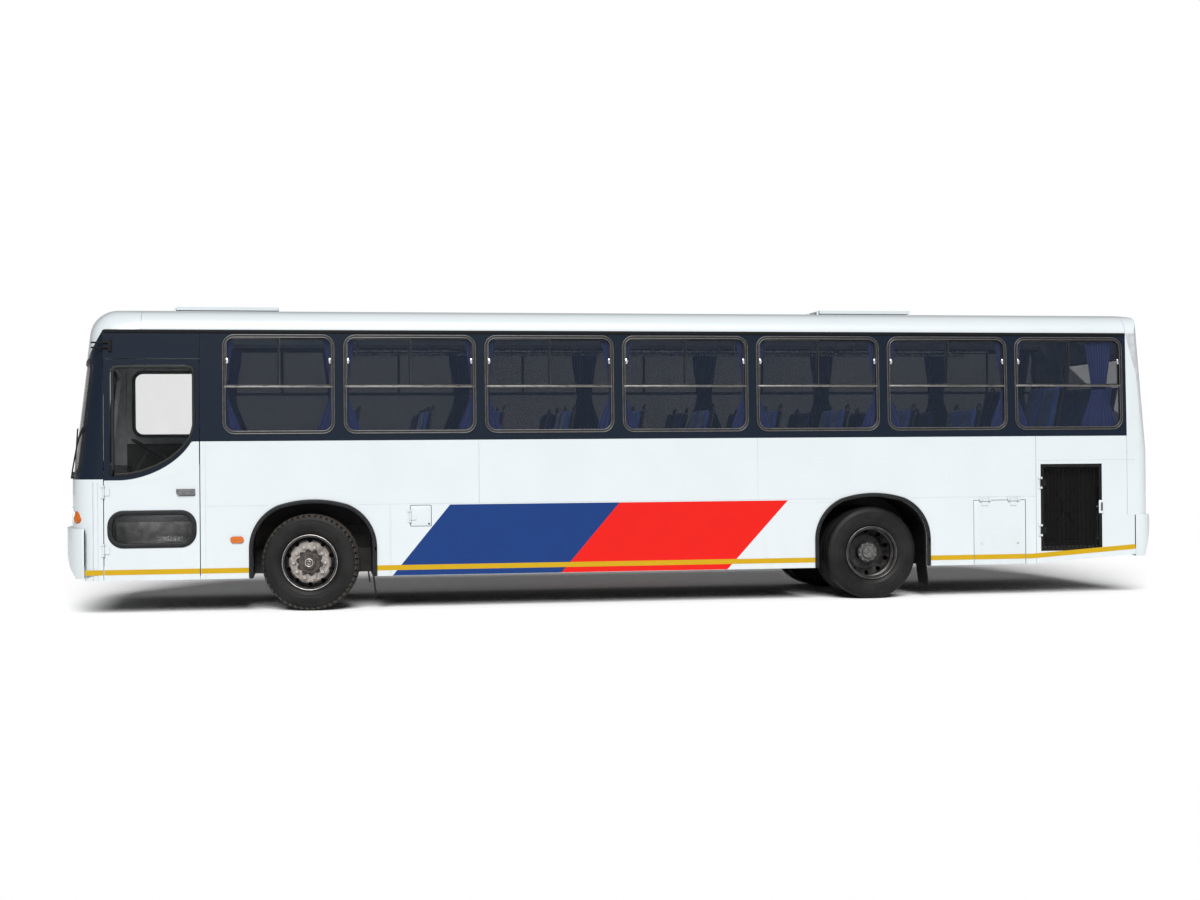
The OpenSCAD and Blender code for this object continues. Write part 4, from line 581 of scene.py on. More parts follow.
def hoop(centre, axis, major, minor, steps=32, sides=8, turn=math.tau):
    """A ring, or part of one, of round section about an axis."""
    part = bmesh.new()
    section = Matrix.Translation((major, 0, 0)) @ Matrix.Rotation(math.pi / 2, 4, "X")
    bmesh.ops.create_circle(part, segments=sides, radius=minor, matrix=section)
    whole = abs(turn - math.tau) < 1e-6
    bmesh.ops.spin(
        part, geom=part.edges[:], cent=(0, 0, 0), axis=(0, 0, 1), angle=turn, steps=steps, use_merge=whole
    )
    if not whole:
        bmesh.ops.holes_fill(part, edges=part.edges[:], sides=sides)
    return face_out(move(part, Matrix.Translation(centre) @ upright(axis)))


def turned(outline, steps):
    """A shell from an outline of (radius, place along Y), spun about the Y axis."""
    part = bmesh.new()
    points = [part.verts.new((radius, along, 0)) for radius, along in outline]
    for first, second in zip(points, points[1:]):
        part.edges.new((first, second))
    bmesh.ops.spin(
        part,
        geom=part.verts[:] + part.edges[:],
        cent=(0, 0, 0),
        axis=(0, 1, 0),
        angle=math.tau,
        steps=steps,
        use_merge=True,
    )
    bmesh.ops.remove_doubles(part, verts=part.verts[:], dist=1e-6)
    return face_out(part)


def panel(x0, x1, z0, z1, corner=0.0):
    """A flat plate in the X-Z plane with rounded corners."""
    part = bmesh.new()
    place = Matrix.Translation(((x0 + x1) / 2, 0, (z0 + z1) / 2)) @ Matrix.Rotation(math.pi / 2, 4, "X")
    size = Matrix.Diagonal((x1 - x0, z1 - z0, 1, 1))
    bmesh.ops.create_grid(part, x_segments=1, y_segments=1, size=0.5, matrix=place @ size)
    if corner:
        soften(part, part.verts[:], corner, CORNER_STEPS, "VERTICES")
    return part


def thicken(part, low, high, edge=0.0, segments=2):
    """Grows a flat X-Z plate between two heights along Y and rounds its upper edges."""
    bmesh.ops.translate(part, verts=part.verts[:], vec=(0, low, 0))
    grown = bmesh.ops.extrude_face_region(part, geom=part.faces[:], use_keep_orig=True)["geom"]
    top = {v for v in grown if isinstance(v, bmesh.types.BMVert)}
    bmesh.ops.translate(part, verts=list(top), vec=(0, high - low, 0))
    face_out(part)
    if edge:
        rims = [e for e in part.edges if top.issuperset(e.verts) and e.calc_face_angle(0.0) > 1.0]
        soften(part, rims, edge, segments)
    return part


def ring(part, width, low, high, edge=0.0, segments=2):
    """A frame of even width inside the outline of a flat X-Z plate."""
    made = bmesh.ops.inset_region(
        part, faces=part.faces[:], thickness=width, use_boundary=True, use_even_offset=True
    )
    rim = set(made["faces"])
    middle = [f for f in part.faces if f not in rim]
    bmesh.ops.delete(part, geom=middle, context="FACES")
    return thicken(part, low, high, edge, segments)


def lay_on_side(part, side):
    """Carries a part drawn with Y as its height over the wall onto one side of the bus."""
    for v in part.verts:
        v.co.y = side * (wall_y(v.co.z) + v.co.y)
    return face_out(part)


def add_to_side(bm, part, side):
    """Adds a part to a piece, laid on one side of the bus."""
    stamp(bm, lay_on_side(part, side))


def left_piece(name, part, body, finish, smooth=35.0):
    """Makes a piece of one part, laid on the left-hand side of the bus."""
    return make_piece(name, lay_on_side(part, LEFT), body, finish, smooth)


# Side windows: beaded frames with painted highlights on the bead crests, divider bars, sliding panes and
# latches

WINDOW_CORNER = 0.13
FRAME_DEPTH = 0.034
FRAME_RISE = 0.001
BEAD = 0.014
BEAD_DEPTH = 0.02
BEAD_RISE = 0.005
BEAD_EDGE = 0.004
CREST_INSET = 0.0045
CREST_ROOT = 0.003
CREST_RISE = 0.0062
BAR_INSET = 0.02
BAR_DEPTH = 0.03
BAR_HALF = 0.011
SLIDER_EDGE = 0.013
SLIDER_LAP = 0.016
FRONT_SLIDER = -0.006
REAR_SLIDER = -0.018
LATCH_HEIGHT = 2.66
LATCH_INSET = 0.012
LATCH_HALF_WIDTH = 0.01
LATCH_HALF_HEIGHT = 0.028
KNOB_SHIFT = 0.006
KNOB_RADIUS = 0.009
SLOT_SHARES = (0.14, 0.38, 0.62, 0.86)
SLOT_HALF = 0.03
SLOT_LOW = divider + 0.0085
SLOT_HIGH = divider + 0.0125
SLOT_RISE = 0.0048
CAB_WINDOW_START = front_x + 0.545
CAB_WINDOW_WIDTH = 1.075
GUTTER_START = front_x + 0.5
GUTTER_END = back_x - 0.33


def window_frame(frames, beads, side, x0, x1, top):
    """A dark frame with two raised beads, each with a bright crest that is a painted highlight."""

    def outline(inset):
        return panel(x0 + inset, x1 - inset, window_foot + inset, top - inset, WINDOW_CORNER - inset)

    add_to_side(frames, ring(outline(0.0), frame_width, -FRAME_DEPTH, FRAME_RISE), side)
    for inset in (0.0, frame_width - BEAD):
        add_to_side(frames, ring(outline(inset), BEAD, -BEAD_DEPTH, BEAD_RISE, BEAD_EDGE, 3), side)
        # Each bead gets a thin light crest: a painted highlight
        crest_width = BEAD - 2 * CREST_INSET
        crest = ring(outline(inset + CREST_INSET), crest_width, CREST_ROOT, CREST_RISE, 0.001)
        add_to_side(beads, crest, side)


def divider_bar(beads, side, x0, x1):
    """Bright bar between a window's fixed pane and its sliding ones."""
    low = (x0 + BAR_INSET, -BAR_DEPTH, divider - BAR_HALF)
    high = (x1 - BAR_INSET, BEAD_RISE, divider + BAR_HALF)
    add_to_side(beads, block(low, high, BEAD_EDGE), side)


def slider_frame(frames, side, x0, x1, deep):
    """Thin frame of one sliding pane, above the divider."""
    pane = panel(x0, x1, divider + BAR_HALF, window_top - frame_width)
    add_to_side(frames, ring(pane, SLIDER_EDGE, deep - 0.012, deep + 0.003, 0.002), side)


def window_latch(latches, side, end, way):
    """Plate and knob at one end of a window, set inwards from it."""
    x = end + way * LATCH_INSET
    low = (x - LATCH_HALF_WIDTH, -0.008, LATCH_HEIGHT - LATCH_HALF_HEIGHT)
    high = (x + LATCH_HALF_WIDTH, 0.001, LATCH_HEIGHT + LATCH_HALF_HEIGHT)
    add_to_side(latches, block(low, high, 0.003), side)
    x += way * KNOB_SHIFT
    knob = rod((x, -0.006, LATCH_HEIGHT), (x, 0.007, LATCH_HEIGHT), KNOB_RADIUS, 10)
    add_to_side(latches, knob, side)


for side in SIDES:
    frames = bmesh.new()
    beads = bmesh.new()
    latches = bmesh.new()
    slots = bmesh.new()
    for i in range(window_count):
        x0, x1 = window_span(i)
        middle = (x0 + x1) / 2
        left = x0 + frame_width
        right = x1 - frame_width
        window_frame(frames, beads, side, x0, x1, window_top)
        divider_bar(beads, side, x0, x1)
        slider_frame(frames, side, left, middle + SLIDER_LAP, FRONT_SLIDER)
        slider_frame(frames, side, middle - SLIDER_LAP, right, REAR_SLIDER)
        window_latch(latches, side, left, 1)
        window_latch(latches, side, right, -1)
        for share in SLOT_SHARES:
            x = x0 + share * (x1 - x0)
            slot = block((x - SLOT_HALF, 0.0, SLOT_LOW), (x + SLOT_HALF, SLOT_RISE, SLOT_HIGH))
            add_to_side(slots, slot, side)
    if side == RIGHT:
        x0 = CAB_WINDOW_START
        window_frame(frames, beads, side, x0, x0 + CAB_WINDOW_WIDTH, door_top)
    word = SIDE_NAMES[side]
    made = make_piece("window_frames_" + word, frames, "bus", frame_alloy)
    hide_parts("window_frames")
    # Crests, which are painted highlights, and divider bars
    make_piece("window_bead_highlights_and_bars_" + word, beads, "bus", bar_alloy_and_crest_highlight)
    make_piece("window_latches_" + word, latches, "bus", bright_latch)
    make_piece("window_slots_" + word, slots, "bus", trim_rubber)
    rail = block((GUTTER_START, -0.006, gutter - 0.03), (GUTTER_END, 0.012, gutter + 0.004), 0.005, 3)
    make_piece("gutter_rail_" + word, lay_on_side(rail, side), "bus", grille_black)

# Stripes: two leaning blocks of colour between the axles and one thin line along the skirt

BLOCK_TOP = 1.115
BLUE_EDGE = (-1.999, 0.823)
SHARED_EDGE = (-0.147, 0.86)
RED_EDGE = (1.751, 0.923)
LINE_LOW = 0.06
LINE_HIGH = 0.114
LINE_START = front_x + 0.298
LINE_END = cap_low_x - 0.004
DOOR_GAP = 0.012
FLAP_GAP = 0.008
FILM = 0.0007
LINE_FILM = 0.0013
FILM_ROOT = -0.0005
service_x0 = rear_axle_x + 1.192
service_x1 = service_x0 + 0.611


def leaning_block(side, front, rear):
    """A block of colour whose ends are given by their top and their lean."""
    part = panel(0.0, 1.0, skirt + 0.002, BLOCK_TOP)
    for v in part.verts:
        top, lean = rear if v.co.x > 0.5 else front
        v.co.x = top - (BLOCK_TOP - v.co.z) * lean
    return lay_on_side(thicken(part, FILM_ROOT, FILM), side)


def skirt_line(side, x0, x1):
    """A length of the thin line, which follows the skirt's lower edge."""
    part = panel(x0, x1, LINE_LOW, LINE_HIGH)
    for v in part.verts:
        v.co.z += skirt_low(v.co.x)
    return lay_on_side(thicken(part, FILM_ROOT, LINE_FILM), side)


for side in SIDES:
    word = SIDE_NAMES[side]
    blue = leaning_block(side, BLUE_EDGE, SHARED_EDGE)
    make_piece("blue_block_" + word, blue, "bus", stripe_blue)
    red = leaning_block(side, SHARED_EDGE, RED_EDGE)
    make_piece("red_block_" + word, red, "bus", stripe_red)
    spans = [
        (LINE_START, door_front - DOOR_GAP),
        (front_axle_x + arch_half, rear_axle_x - arch_half),
        (service_x1 + FLAP_GAP, kink_x),
        (kink_x, LINE_END),
    ]
    if side == LEFT:
        spans.append((door_rear + DOOR_GAP, front_axle_x - arch_half))
        spans.append((rear_axle_x + arch_half, service_x0 - FLAP_GAP))
    else:
        spans.append((door_front - DOOR_GAP, front_axle_x - arch_half))
        spans.append((rear_axle_x + arch_half, service_x1 + FLAP_GAP))
    line = bmesh.new()
    for x0, x1 in spans:
        stamp(line, skirt_line(side, x0, x1))
    make_piece("yellow_line_" + word, line, "bus", stripe_yellow)
door_line = skirt_line(LEFT, door_front, door_rear)
make_piece("yellow_line_door", door_line, "passenger_door", stripe_yellow)
flap_line = skirt_line(LEFT, service_x0, service_x1)
make_piece("yellow_line_flap", flap_line, "service_hatch", stripe_yellow)

# Panel seams: one long line over the arches and short ones between the sheets

SEAM = 0.004
SEAM_HEIGHT = 1.126
SEAM_FOOT = skirt + 0.004
SEAM_HEAD = waist - 0.002
SEAM_END = back_x - 1.44
LEFT_START = door_rear + 0.058
RIGHT_START = front_x + 0.4
ARCH_CHORD = 0.47
TAIL_SEAM = (back_x - 1.4, back_x - 0.24)
TAIL_SEAM_HEIGHT = 1.533
WAIST_JOINTS = (-1.688, 1.408)
SKIRT_JOINT = (-2.646, -2.6436)
NOSE_JOINTS = (-5.722, -5.672)
NOSE_JOINT_HEAD = 1.39


def add_seam(seams, side, x0, x1, z0, z1):
    """Adds one fine line between two corners on one side."""
    add_to_side(seams, block((x0, -0.001, z0), (x1, FILM + 0.0004, z1)), side)


for side in SIDES:
    seams = bmesh.new()
    start = LEFT_START if side == LEFT else RIGHT_START
    spans = (
        (start, front_axle_x - ARCH_CHORD),
        (front_axle_x + ARCH_CHORD, rear_axle_x - ARCH_CHORD),
        (rear_axle_x + ARCH_CHORD, SEAM_END),
    )
    for x0, x1 in spans:
        add_seam(seams, side, x0, x1, SEAM_HEIGHT, SEAM_HEIGHT + SEAM)
    add_seam(seams, side, *TAIL_SEAM, TAIL_SEAM_HEIGHT, TAIL_SEAM_HEIGHT + SEAM)
    for x in WAIST_JOINTS:
        add_seam(seams, side, x, x + SEAM, SEAM_HEIGHT, SEAM_HEAD)
    add_seam(seams, side, *SKIRT_JOINT, SEAM_FOOT, SEAM_HEIGHT)
    if side == LEFT:
        add_seam(seams, side, start, start + SEAM, SEAM_FOOT, SEAM_HEAD)
        for x in NOSE_JOINTS:
            add_seam(seams, side, x, x + SEAM, SEAM_FOOT, NOSE_JOINT_HEAD)
    make_piece("panel_seams_" + SIDE_NAMES[side], seams, "bus", seam_grey)

# Tyres: blocks and shoulder lugs in front, plain ribs behind, from half outlines of radius and place

TYRE_SIDE = [
    (0.278, 0.087), (0.29, 0.099), (0.302, 0.107), (0.306, 0.1125), (0.318, 0.1195), (0.33, 0.1255),
    (0.345, 0.1305), (0.349, 0.1325), (0.353, 0.1315), (0.372, 0.1375), (0.392, 0.1385), (0.412, 0.1385),
    (0.432, 0.1375), (0.45, 0.1345), (0.455, 0.1352), (0.46, 0.134), (0.474, 0.1305), (0.486, 0.1255),
]
PLAIN_TREAD = [(0.4955, 0.116), (0.5, 0.1), (0.5015, 0.05)]
RIBBED_TREAD = [
    (0.497, 0.1185), (0.507, 0.111), (0.512, 0.1), (0.513, 0.07), (0.503, 0.068), (0.503, 0.06),
    (0.513, 0.058), (0.5135, 0.012), (0.503, 0.01), (0.503, 0.004),
]
TYRE_STEPS = 96
TREAD_RADIUS = 0.515
TWIN_PLACE = 0.1625
LUGS = 50
LUG_ROWS = [(0.0985, 0.053, 0.0), (0.036, 0.05, 0.5), (-0.036, 0.05, 0.0), (-0.0985, 0.053, 0.5)]
LUG_LENGTH_SHARE = 0.62
LUG_RADIUS = 0.502
LUG_HEIGHT = 0.0245
LUG_SKEW = 0.2
SHOULDER_PLACE = 0.05
SHOULDER_DROP = 0.021


def tyre_shell(tread):
    """A whole tyre from one half of its outline."""
    half = TYRE_SIDE + tread
    outline = [(r, -y) for r, y in half] + [(r, y) for r, y in reversed(half)]
    return turned(outline + [outline[0]], TYRE_STEPS)


def tyre_lugs():
    """Rows of blocks round the tyre, by place, width and shift; the outer rows drop over its shoulders."""
    part = bmesh.new()
    length = math.tau * TREAD_RADIUS / LUGS * LUG_LENGTH_SHARE
    for along, width, shift in LUG_ROWS:
        skew = Matrix.Rotation(math.copysign(LUG_SKEW, along), 4, "Z")
        size = Matrix.Diagonal((length, width, LUG_HEIGHT, 1))
        shape = Matrix.Translation((0, along, LUG_RADIUS)) @ skew @ size
        for i in range(LUGS):
            spin = Matrix.Rotation(math.tau * (i + shift) / LUGS, 4, "Y")
            lug = bmesh.ops.create_cube(part, size=1.0, matrix=spin @ shape)["verts"]
            outer = [v for v in lug if abs(along) > SHOULDER_PLACE and abs(v.co.y) > abs(along)]
            for v in outer:
                v.co -= Vector((v.co.x, 0, v.co.z)).normalized() * SHOULDER_DROP
    return part


def on_axle(part, centre, turn):
    """Carries a part drawn about the Y axis onto an axle end."""
    return move(part, Matrix.Translation(centre) @ Matrix.Rotation(turn, 4, "Z"))


WHEELS = {
    "front_left_tyre": ("wheel_front_left", steer_rest, (0.0,)),
    "front_right_tyre": ("wheel_front_right", steer_rest, (0.0,)),
    "rear_left_tyres": ("wheel_rear_left", 0.0, (-TWIN_PLACE, TWIN_PLACE)),
    "rear_right_tyres": ("wheel_rear_right", 0.0, (-TWIN_PLACE, TWIN_PLACE)),
}
for node, (body, turn, offsets) in WHEELS.items():
    centre = box_middle(node)
    twin = len(offsets) > 1
    shells = bmesh.new()
    for offset in offsets:
        tyre = tyre_shell(RIBBED_TREAD if twin else PLAIN_TREAD)
        stamp(shells, on_axle(tyre, centre + Vector((0, offset, 0)), turn))
    made = make_piece(node + "_shell", shells, body, tyre_wall, 50.0)
    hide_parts(node)
    if not twin:
        lugs = on_axle(tyre_lugs(), centre, turn)
        make_piece(node + "_tread", lugs, body, tyre_tread)

# Wheels: worn disc, dark rim, bright nuts, rusty hub with a scalloped plate, and bright rings on the rims
# that are painted highlights

RIM_RADIUS = 0.222
NUT_RADII = (0.14, 0.19)
NUT_BASE = 0.118
HUB_RADIUS = 0.114
REAR_HUB_RADIUS = 0.1
REAR_HUB_BASE = 0.09
PLATE_RADIUS = 0.118
PLATE_PLACE = 0.1145
PLATE_LOBES = 10
LOBE_SHARE = 0.24
LIP_RADIUS = 0.2925
LIP_WIRE = 0.0045
LIP_PLACE = 0.1165
CAP_PLACE = 0.1705
REAR_LIP_PLACE = 0.279
REAR_RINGS = ((0.236, 0.2635), (0.205, 0.2615), (0.172, 0.2615))


def about_wheel(centre, axis):
    """Distance along a wheel's axis and from it, for any point."""

    def measure(spot):
        away = spot - centre
        along = away.dot(axis)
        return along, math.sqrt(max(0.0, away.length_squared - along * along))

    return measure


def front_wheel_finish(measure):
    """Finish of a front wheel's face: worn disc, dark rim, bright nuts or rusty hub."""

    def choose(spot):
        along, radius = measure(spot)
        if radius > RIM_RADIUS:
            return 1
        if along > NUT_BASE and NUT_RADII[0] < radius < NUT_RADII[1]:
            return 2
        return 3 if radius < HUB_RADIUS else 0

    return choose


def rear_wheel_finish(measure):
    """Finish of a rear wheel's face: dark wheel or grey hub."""

    def choose(spot):
        along, radius = measure(spot)
        return along > REAR_HUB_BASE and radius < REAR_HUB_RADIUS

    return choose


def scalloped_plate(centre, axis):
    """A thin plate with a wavy rim round the hub."""
    part = bmesh.new()
    bmesh.ops.create_circle(part, cap_ends=True, segments=120, radius=PLATE_RADIUS)
    for v in part.verts:
        lobe = 0.5 - 0.5 * math.cos(PLATE_LOBES * math.atan2(v.co.y, v.co.x))
        v.co *= 1 + LOBE_SHARE * lobe**0.7
    bmesh.ops.solidify(part, geom=part.faces[:], thickness=0.003)
    return face_out(move(part, Matrix.Translation(centre) @ upright(axis)))


for side in SIDES:
    word = SIDE_NAMES[side]
    centre = box_middle(f"front_{word}_tyre")
    axis = Matrix.Rotation(steer_rest, 3, "Z") @ Vector((0, side, 0))
    wheel = f"front_{word}_wheel"
    body = "wheel_front_" + word
    dress_parts(wheel, [wheel_dark, nut_steel_and_lip_highlight, hub_rust], front_wheel_finish(about_wheel(centre, axis)))
    plate = scalloped_plate(centre + axis * PLATE_PLACE, axis)
    make_piece(wheel + "_plate", plate, body, wheel_dark)
    # The bright ring on the rim's lip is a painted highlight
    lip_highlight = hoop(centre + axis * LIP_PLACE, axis, LIP_RADIUS, LIP_WIRE, 64)
    make_piece(wheel + "_lip", lip_highlight, body, nut_steel_and_lip_highlight)
    cap = hoop(centre + axis * CAP_PLACE, axis, 0.04, 0.006, 40)
    stamp(cap, hoop(centre + axis * CAP_PLACE, axis, 0.018, 0.004, 24))
    make_piece(wheel + "_cap", cap, body, nut_steel_and_lip_highlight)
    centre = box_middle(f"rear_{word}_tyres")
    axis = Vector((0, side, 0))
    wheel = f"rear_{word}_wheels"
    dress_parts(wheel, [hub_grey], rear_wheel_finish(about_wheel(centre, axis)))
    # Bright rings on the rear rim's lip and in its dish are painted highlights
    ring_highlights = hoop(centre + axis * REAR_LIP_PLACE, axis, LIP_RADIUS, LIP_WIRE, 64)
    for place, radius in REAR_RINGS:
        stamp(ring_highlights, hoop(centre + axis * place, axis, radius, 0.004, 64))
    make_piece(wheel + "_rings", ring_highlights, "wheel_rear_" + word, rim_ring_highlight)

# Curtains: gathered at the top rail, tied at the post and spread at the sill

CURTAIN_TOP = 2.911
CURTAIN_TIE = 2.33
CURTAIN_FOOT = 1.851
CURTAIN_WIDTHS = (0.33, 0.19, 0.52)
PLEATS = 9
PLEAT_DEPTH = 0.0135
PLEAT_REACH = 0.0092
CURTAIN_SWAY = 0.006
TIE_HALF = 0.02
TIE_INNER = -wall - 0.0255
TIE_OUTER = -wall - 0.0012


def curtain_width(z):
    """Width of a tied curtain at a height, eased between its three measures."""
    top, tie, foot = CURTAIN_WIDTHS
    if z > CURTAIN_TIE:
        share = (z - CURTAIN_TIE) / (CURTAIN_TOP - CURTAIN_TIE)
        end = top
    else:
        share = (CURTAIN_TIE - z) / (CURTAIN_TIE - CURTAIN_FOOT)
        end = foot
    ease = share * share * (3 - 2 * share) * 0.5 + share * 0.5
    return tie + (end - tie) * ease


def curtain(side, x, number):
    """One pleated sheet beside a window post; its number shifts the folds."""
    part = bmesh.new()
    bmesh.ops.create_grid(part, x_segments=PLEATS * 8, y_segments=30, size=0.5)
    for v in part.verts:
        across = v.co.x
        z = CURTAIN_FOOT + (v.co.y + 0.5) * (CURTAIN_TOP - CURTAIN_FOOT)
        width = curtain_width(z)
        swing = math.sin(math.tau * PLEATS * across + 0.7 * math.sin(5 * z + number))
        lilt = 0.25 * math.sin(math.tau * 2.6 * across + number)
        depth = PLEAT_DEPTH + PLEAT_REACH * max(-1.0, min(1.0, 0.85 * swing + lilt))
        sway = CURTAIN_SWAY * math.sin(math.tau * 1.3 * across + 3 * z + number)
        shift = sway * (width / CURTAIN_WIDTHS[2])
        v.co = Vector((x + across * width * 0.97 + shift, -wall - depth, z))
    return lay_on_side(part, side)


for side in SIDES:
    ties = bmesh.new()
    word = SIDE_NAMES[side]
    for i in range(window_count + 1):
        if i < window_count:
            x = window_span(i)[0] - window_post / 2
        else:
            x = window_span(i - 1)[1] - CURTAIN_WIDTHS[2] / 2
        name = f"curtain_{word}_{i}"
        cloth = curtain(side, x, 2 * i + side)
        made = make_piece(name, cloth, "bus", curtain_blue, 180.0)
        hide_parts("curtains")
        half = CURTAIN_WIDTHS[1] / 2
        band_low = (x - half, TIE_INNER, CURTAIN_TIE - TIE_HALF)
        band_high = (x + half, TIE_OUTER, CURTAIN_TIE + TIE_HALF)
        add_to_side(ties, block(band_low, band_high, 0.005), side)
    make_piece("curtain_ties_" + word, ties, "bus", curtain_blue)

# Padded seats: one cushion and one back blown up as cloth, then set on every seat

PUFF = 0.014
PUFF_FRAMES = 20
PAD_GAP = 0.001
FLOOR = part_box("floor")[1].z
HIGH_FLOOR = FLOOR + 0.252
CAB_FLOOR = FLOOR + 0.12
CUSHION = (0.434, 0.415, 0.11)
CUSHION_FORWARD = 0.223
CUSHION_HEIGHT = 0.4152
BACK = (0.088, 0.415, 0.69)
BACK_LEAN = math.radians(12)
BACK_FOOT = 0.45
BACK_MIDDLE = 0.3653
RIB_SHARE = 0.42
RIB_HALF = 0.012
CROSS_SEAM_SHARE = 0.55
CROSS_SEAM_HALF = 0.014
SEAT_PITCH = 0.78
SEAT_FIRST = front_x + 2.95
SEAT_ROWS = 10
SEAT_PLACES = (0.4805, 0.9095)
RAISED_ROW = back_x - 1.22
BENCH_ROW = back_x - 0.56
BENCH_PLACES = 5
BENCH_PITCH = 0.436
BENCH_SHARE = 1.04
DRIVER_SPOT = (front_x + 1.5, 0.72)
DRIVER_SHARE = 1.18
LOOP_PLACES = (0.345, 1.045)
LOOP_RADIUS = 0.055
LOOP_BAR = 0.011
LOOP_SPOT = (0.052, 0, 0.705)


def settled(made):
    """Mesh of an object with its modifiers worked in; the object itself goes."""
    graph = bpy.context.evaluated_depsgraph_get()
    mesh = bpy.data.meshes.new_from_object(made.evaluated_get(graph))
    bpy.data.objects.remove(made)
    return mesh


def blown_up(mesh, half, seams):
    """A cover after pressure has filled it between its pinned seams."""
    cover = linked("pad_cover", mesh)
    held = cover.vertex_groups.new(name="held")
    held.add([v.index for v in mesh.vertices if seams(v.co, half)], 1.0, "REPLACE")
    cloth = cover.modifiers.new("cloth", "CLOTH")
    cloth.settings.quality = 4
    cloth.settings.mass = 0.25
    cloth.settings.use_pressure = True
    cloth.settings.uniform_pressure_force = 4.0
    cloth.settings.effector_weights.gravity = 0.0
    cloth.settings.vertex_group_mass = "held"
    cloth.point_cache.frame_start = 1
    cloth.point_cache.frame_end = PUFF_FRAMES
    for number in range(1, PUFF_FRAMES + 1):
        scene.frame_set(number)
    filled = settled(cover)
    scene.frame_set(1)
    return filled


def stuffed(size, seams, voxel):
    """A pad whose cover is blown up between its base and its pinned seams."""
    half = Vector(size) / 2 - Vector((PUFF, PUFF, PUFF))
    form = linked("pad_form", drawn("pad_form", block(-half, half, min(half) * 0.5, 3)))
    remesh = form.modifiers.new("voxels", "REMESH")
    remesh.mode = "VOXEL"
    remesh.voxel_size = voxel
    mesh = settled(form)
    rest = [v.co.copy() for v in mesh.vertices]
    mesh = blown_up(mesh, half, seams)
    part = bmesh.new()
    part.from_mesh(mesh)
    for v, start in zip(part.verts, rest):
        step = v.co - start
        if step.length > PUFF:
            v.co = start + step.normalized() * PUFF
    bmesh.ops.subdivide_edges(part, edges=part.edges[:], cuts=1, use_grid_fill=True, smooth=0.5)
    for v in part.verts:
        for axis in range(3):
            limit = size[axis] / 2 - PAD_GAP
            v.co[axis] = max(-limit, min(limit, v.co[axis]))
    return drawn("pad", part)


def on_rib(spot, half):
    """Whether a point lies on one of a pad's two long stitched ribs."""
    return abs(abs(spot.y) - half.y * RIB_SHARE) < RIB_HALF


def cushion_seams(spot, half):
    """Whether a point is held on a cushion: its base and its ribs."""
    return spot.z < -half.z * 0.4 or on_rib(spot, half)


def back_seams(spot, half):
    """Whether a point is held on a seat back: its rear, its ribs and its cross seam."""
    cross = abs(spot.z - half.z * CROSS_SEAM_SHARE) < CROSS_SEAM_HALF
    return spot.x > half.x * 0.4 or on_rib(spot, half) or cross


cushion_pad = stuffed(CUSHION, cushion_seams, 0.034)
back_pad = stuffed(BACK, back_seams, 0.04)


def pad_copy(pad, matrix):
    """A copy of a pad, carried to its place."""
    part = bmesh.new()
    part.from_mesh(pad)
    return move(part, matrix)


def seat_lean(x, y, floor):
    """Place and lean of a seat back's foot."""
    return Matrix.Translation((x, y, floor + BACK_FOOT)) @ Matrix.Rotation(BACK_LEAN, 4, "Y")


def add_seat(pads, x, y, floor, scale=1.0):
    """One cushion and one back for a single place."""
    width = Matrix.Diagonal((1, scale, 1, 1))
    spot = Matrix.Translation((x - CUSHION_FORWARD, y, floor + CUSHION_HEIGHT))
    stamp(pads, pad_copy(cushion_pad, spot @ width))
    lift = Matrix.Translation((0, 0, BACK_MIDDLE))
    stamp(pads, pad_copy(back_pad, seat_lean(x, y, floor) @ lift @ width))


def grab_loop(x, y, floor):
    """Round-bar loop on the top corner of a seat back."""
    part = hoop((0, 0, 0), (1, 0, 0), LOOP_RADIUS, LOOP_BAR, 14, 8, math.pi)
    turn = Matrix.Rotation(math.pi / 2, 4, "X")
    return move(part, seat_lean(x, y, floor) @ Matrix.Translation(LOOP_SPOT) @ turn)


def soft_seats(name, pads):
    """Makes a piece of seat pads."""
    made = make_piece(name, pads, "bus", seat_blue, 60.0)
    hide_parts("seat_pads")


for side in SIDES:
    pads = bmesh.new()
    loops = bmesh.new()
    rows = [(SEAT_FIRST + i * SEAT_PITCH, FLOOR) for i in range(SEAT_ROWS)]
    rows.append((RAISED_ROW, HIGH_FLOOR))
    for x, floor in rows:
        for y in SEAT_PLACES:
            add_seat(pads, x, side * y, floor)
        for y in LOOP_PLACES:
            stamp(loops, grab_loop(x, side * y, floor))
    soft_seats("seats_" + SIDE_NAMES[side], pads)
    make_piece("grab_loops_" + SIDE_NAMES[side], loops, "bus", seat_black, 60.0)
pads = bmesh.new()
for i in range(BENCH_PLACES):
    add_seat(pads, BENCH_ROW, (i - BENCH_PLACES // 2) * BENCH_PITCH, HIGH_FLOOR, BENCH_SHARE)
add_seat(pads, *DRIVER_SPOT, CAB_FLOOR, DRIVER_SHARE)
soft_seats("seats_tail_and_cab", pads)

# Hand rails along the ceiling, hung on short drops

HAND_RAIL_Y = 0.36
HAND_RAIL_Z = 2.82
HAND_RAIL_LENGTH = 7.6
DROP_TOP = 3.17
DROP_COUNT = 6
DROP_START = SEAT_FIRST + 0.2
DROP_PITCH = 1.44
rails = bmesh.new()
for side in SIDES:
    y = side * HAND_RAIL_Y
    rail_end = SEAT_FIRST + HAND_RAIL_LENGTH
    stamp(rails, rod((SEAT_FIRST, y, HAND_RAIL_Z), (rail_end, y, HAND_RAIL_Z), 0.015))
    for i in range(DROP_COUNT):
        x = DROP_START + i * DROP_PITCH
        stamp(rails, rod((x, y, HAND_RAIL_Z), (x, y, DROP_TOP), 0.011))
make_piece("hand_rails", rails, "bus", rail_steel, 50.0)

# Passenger door: white and black sweeps, rubber round both windows, a seal and a handle

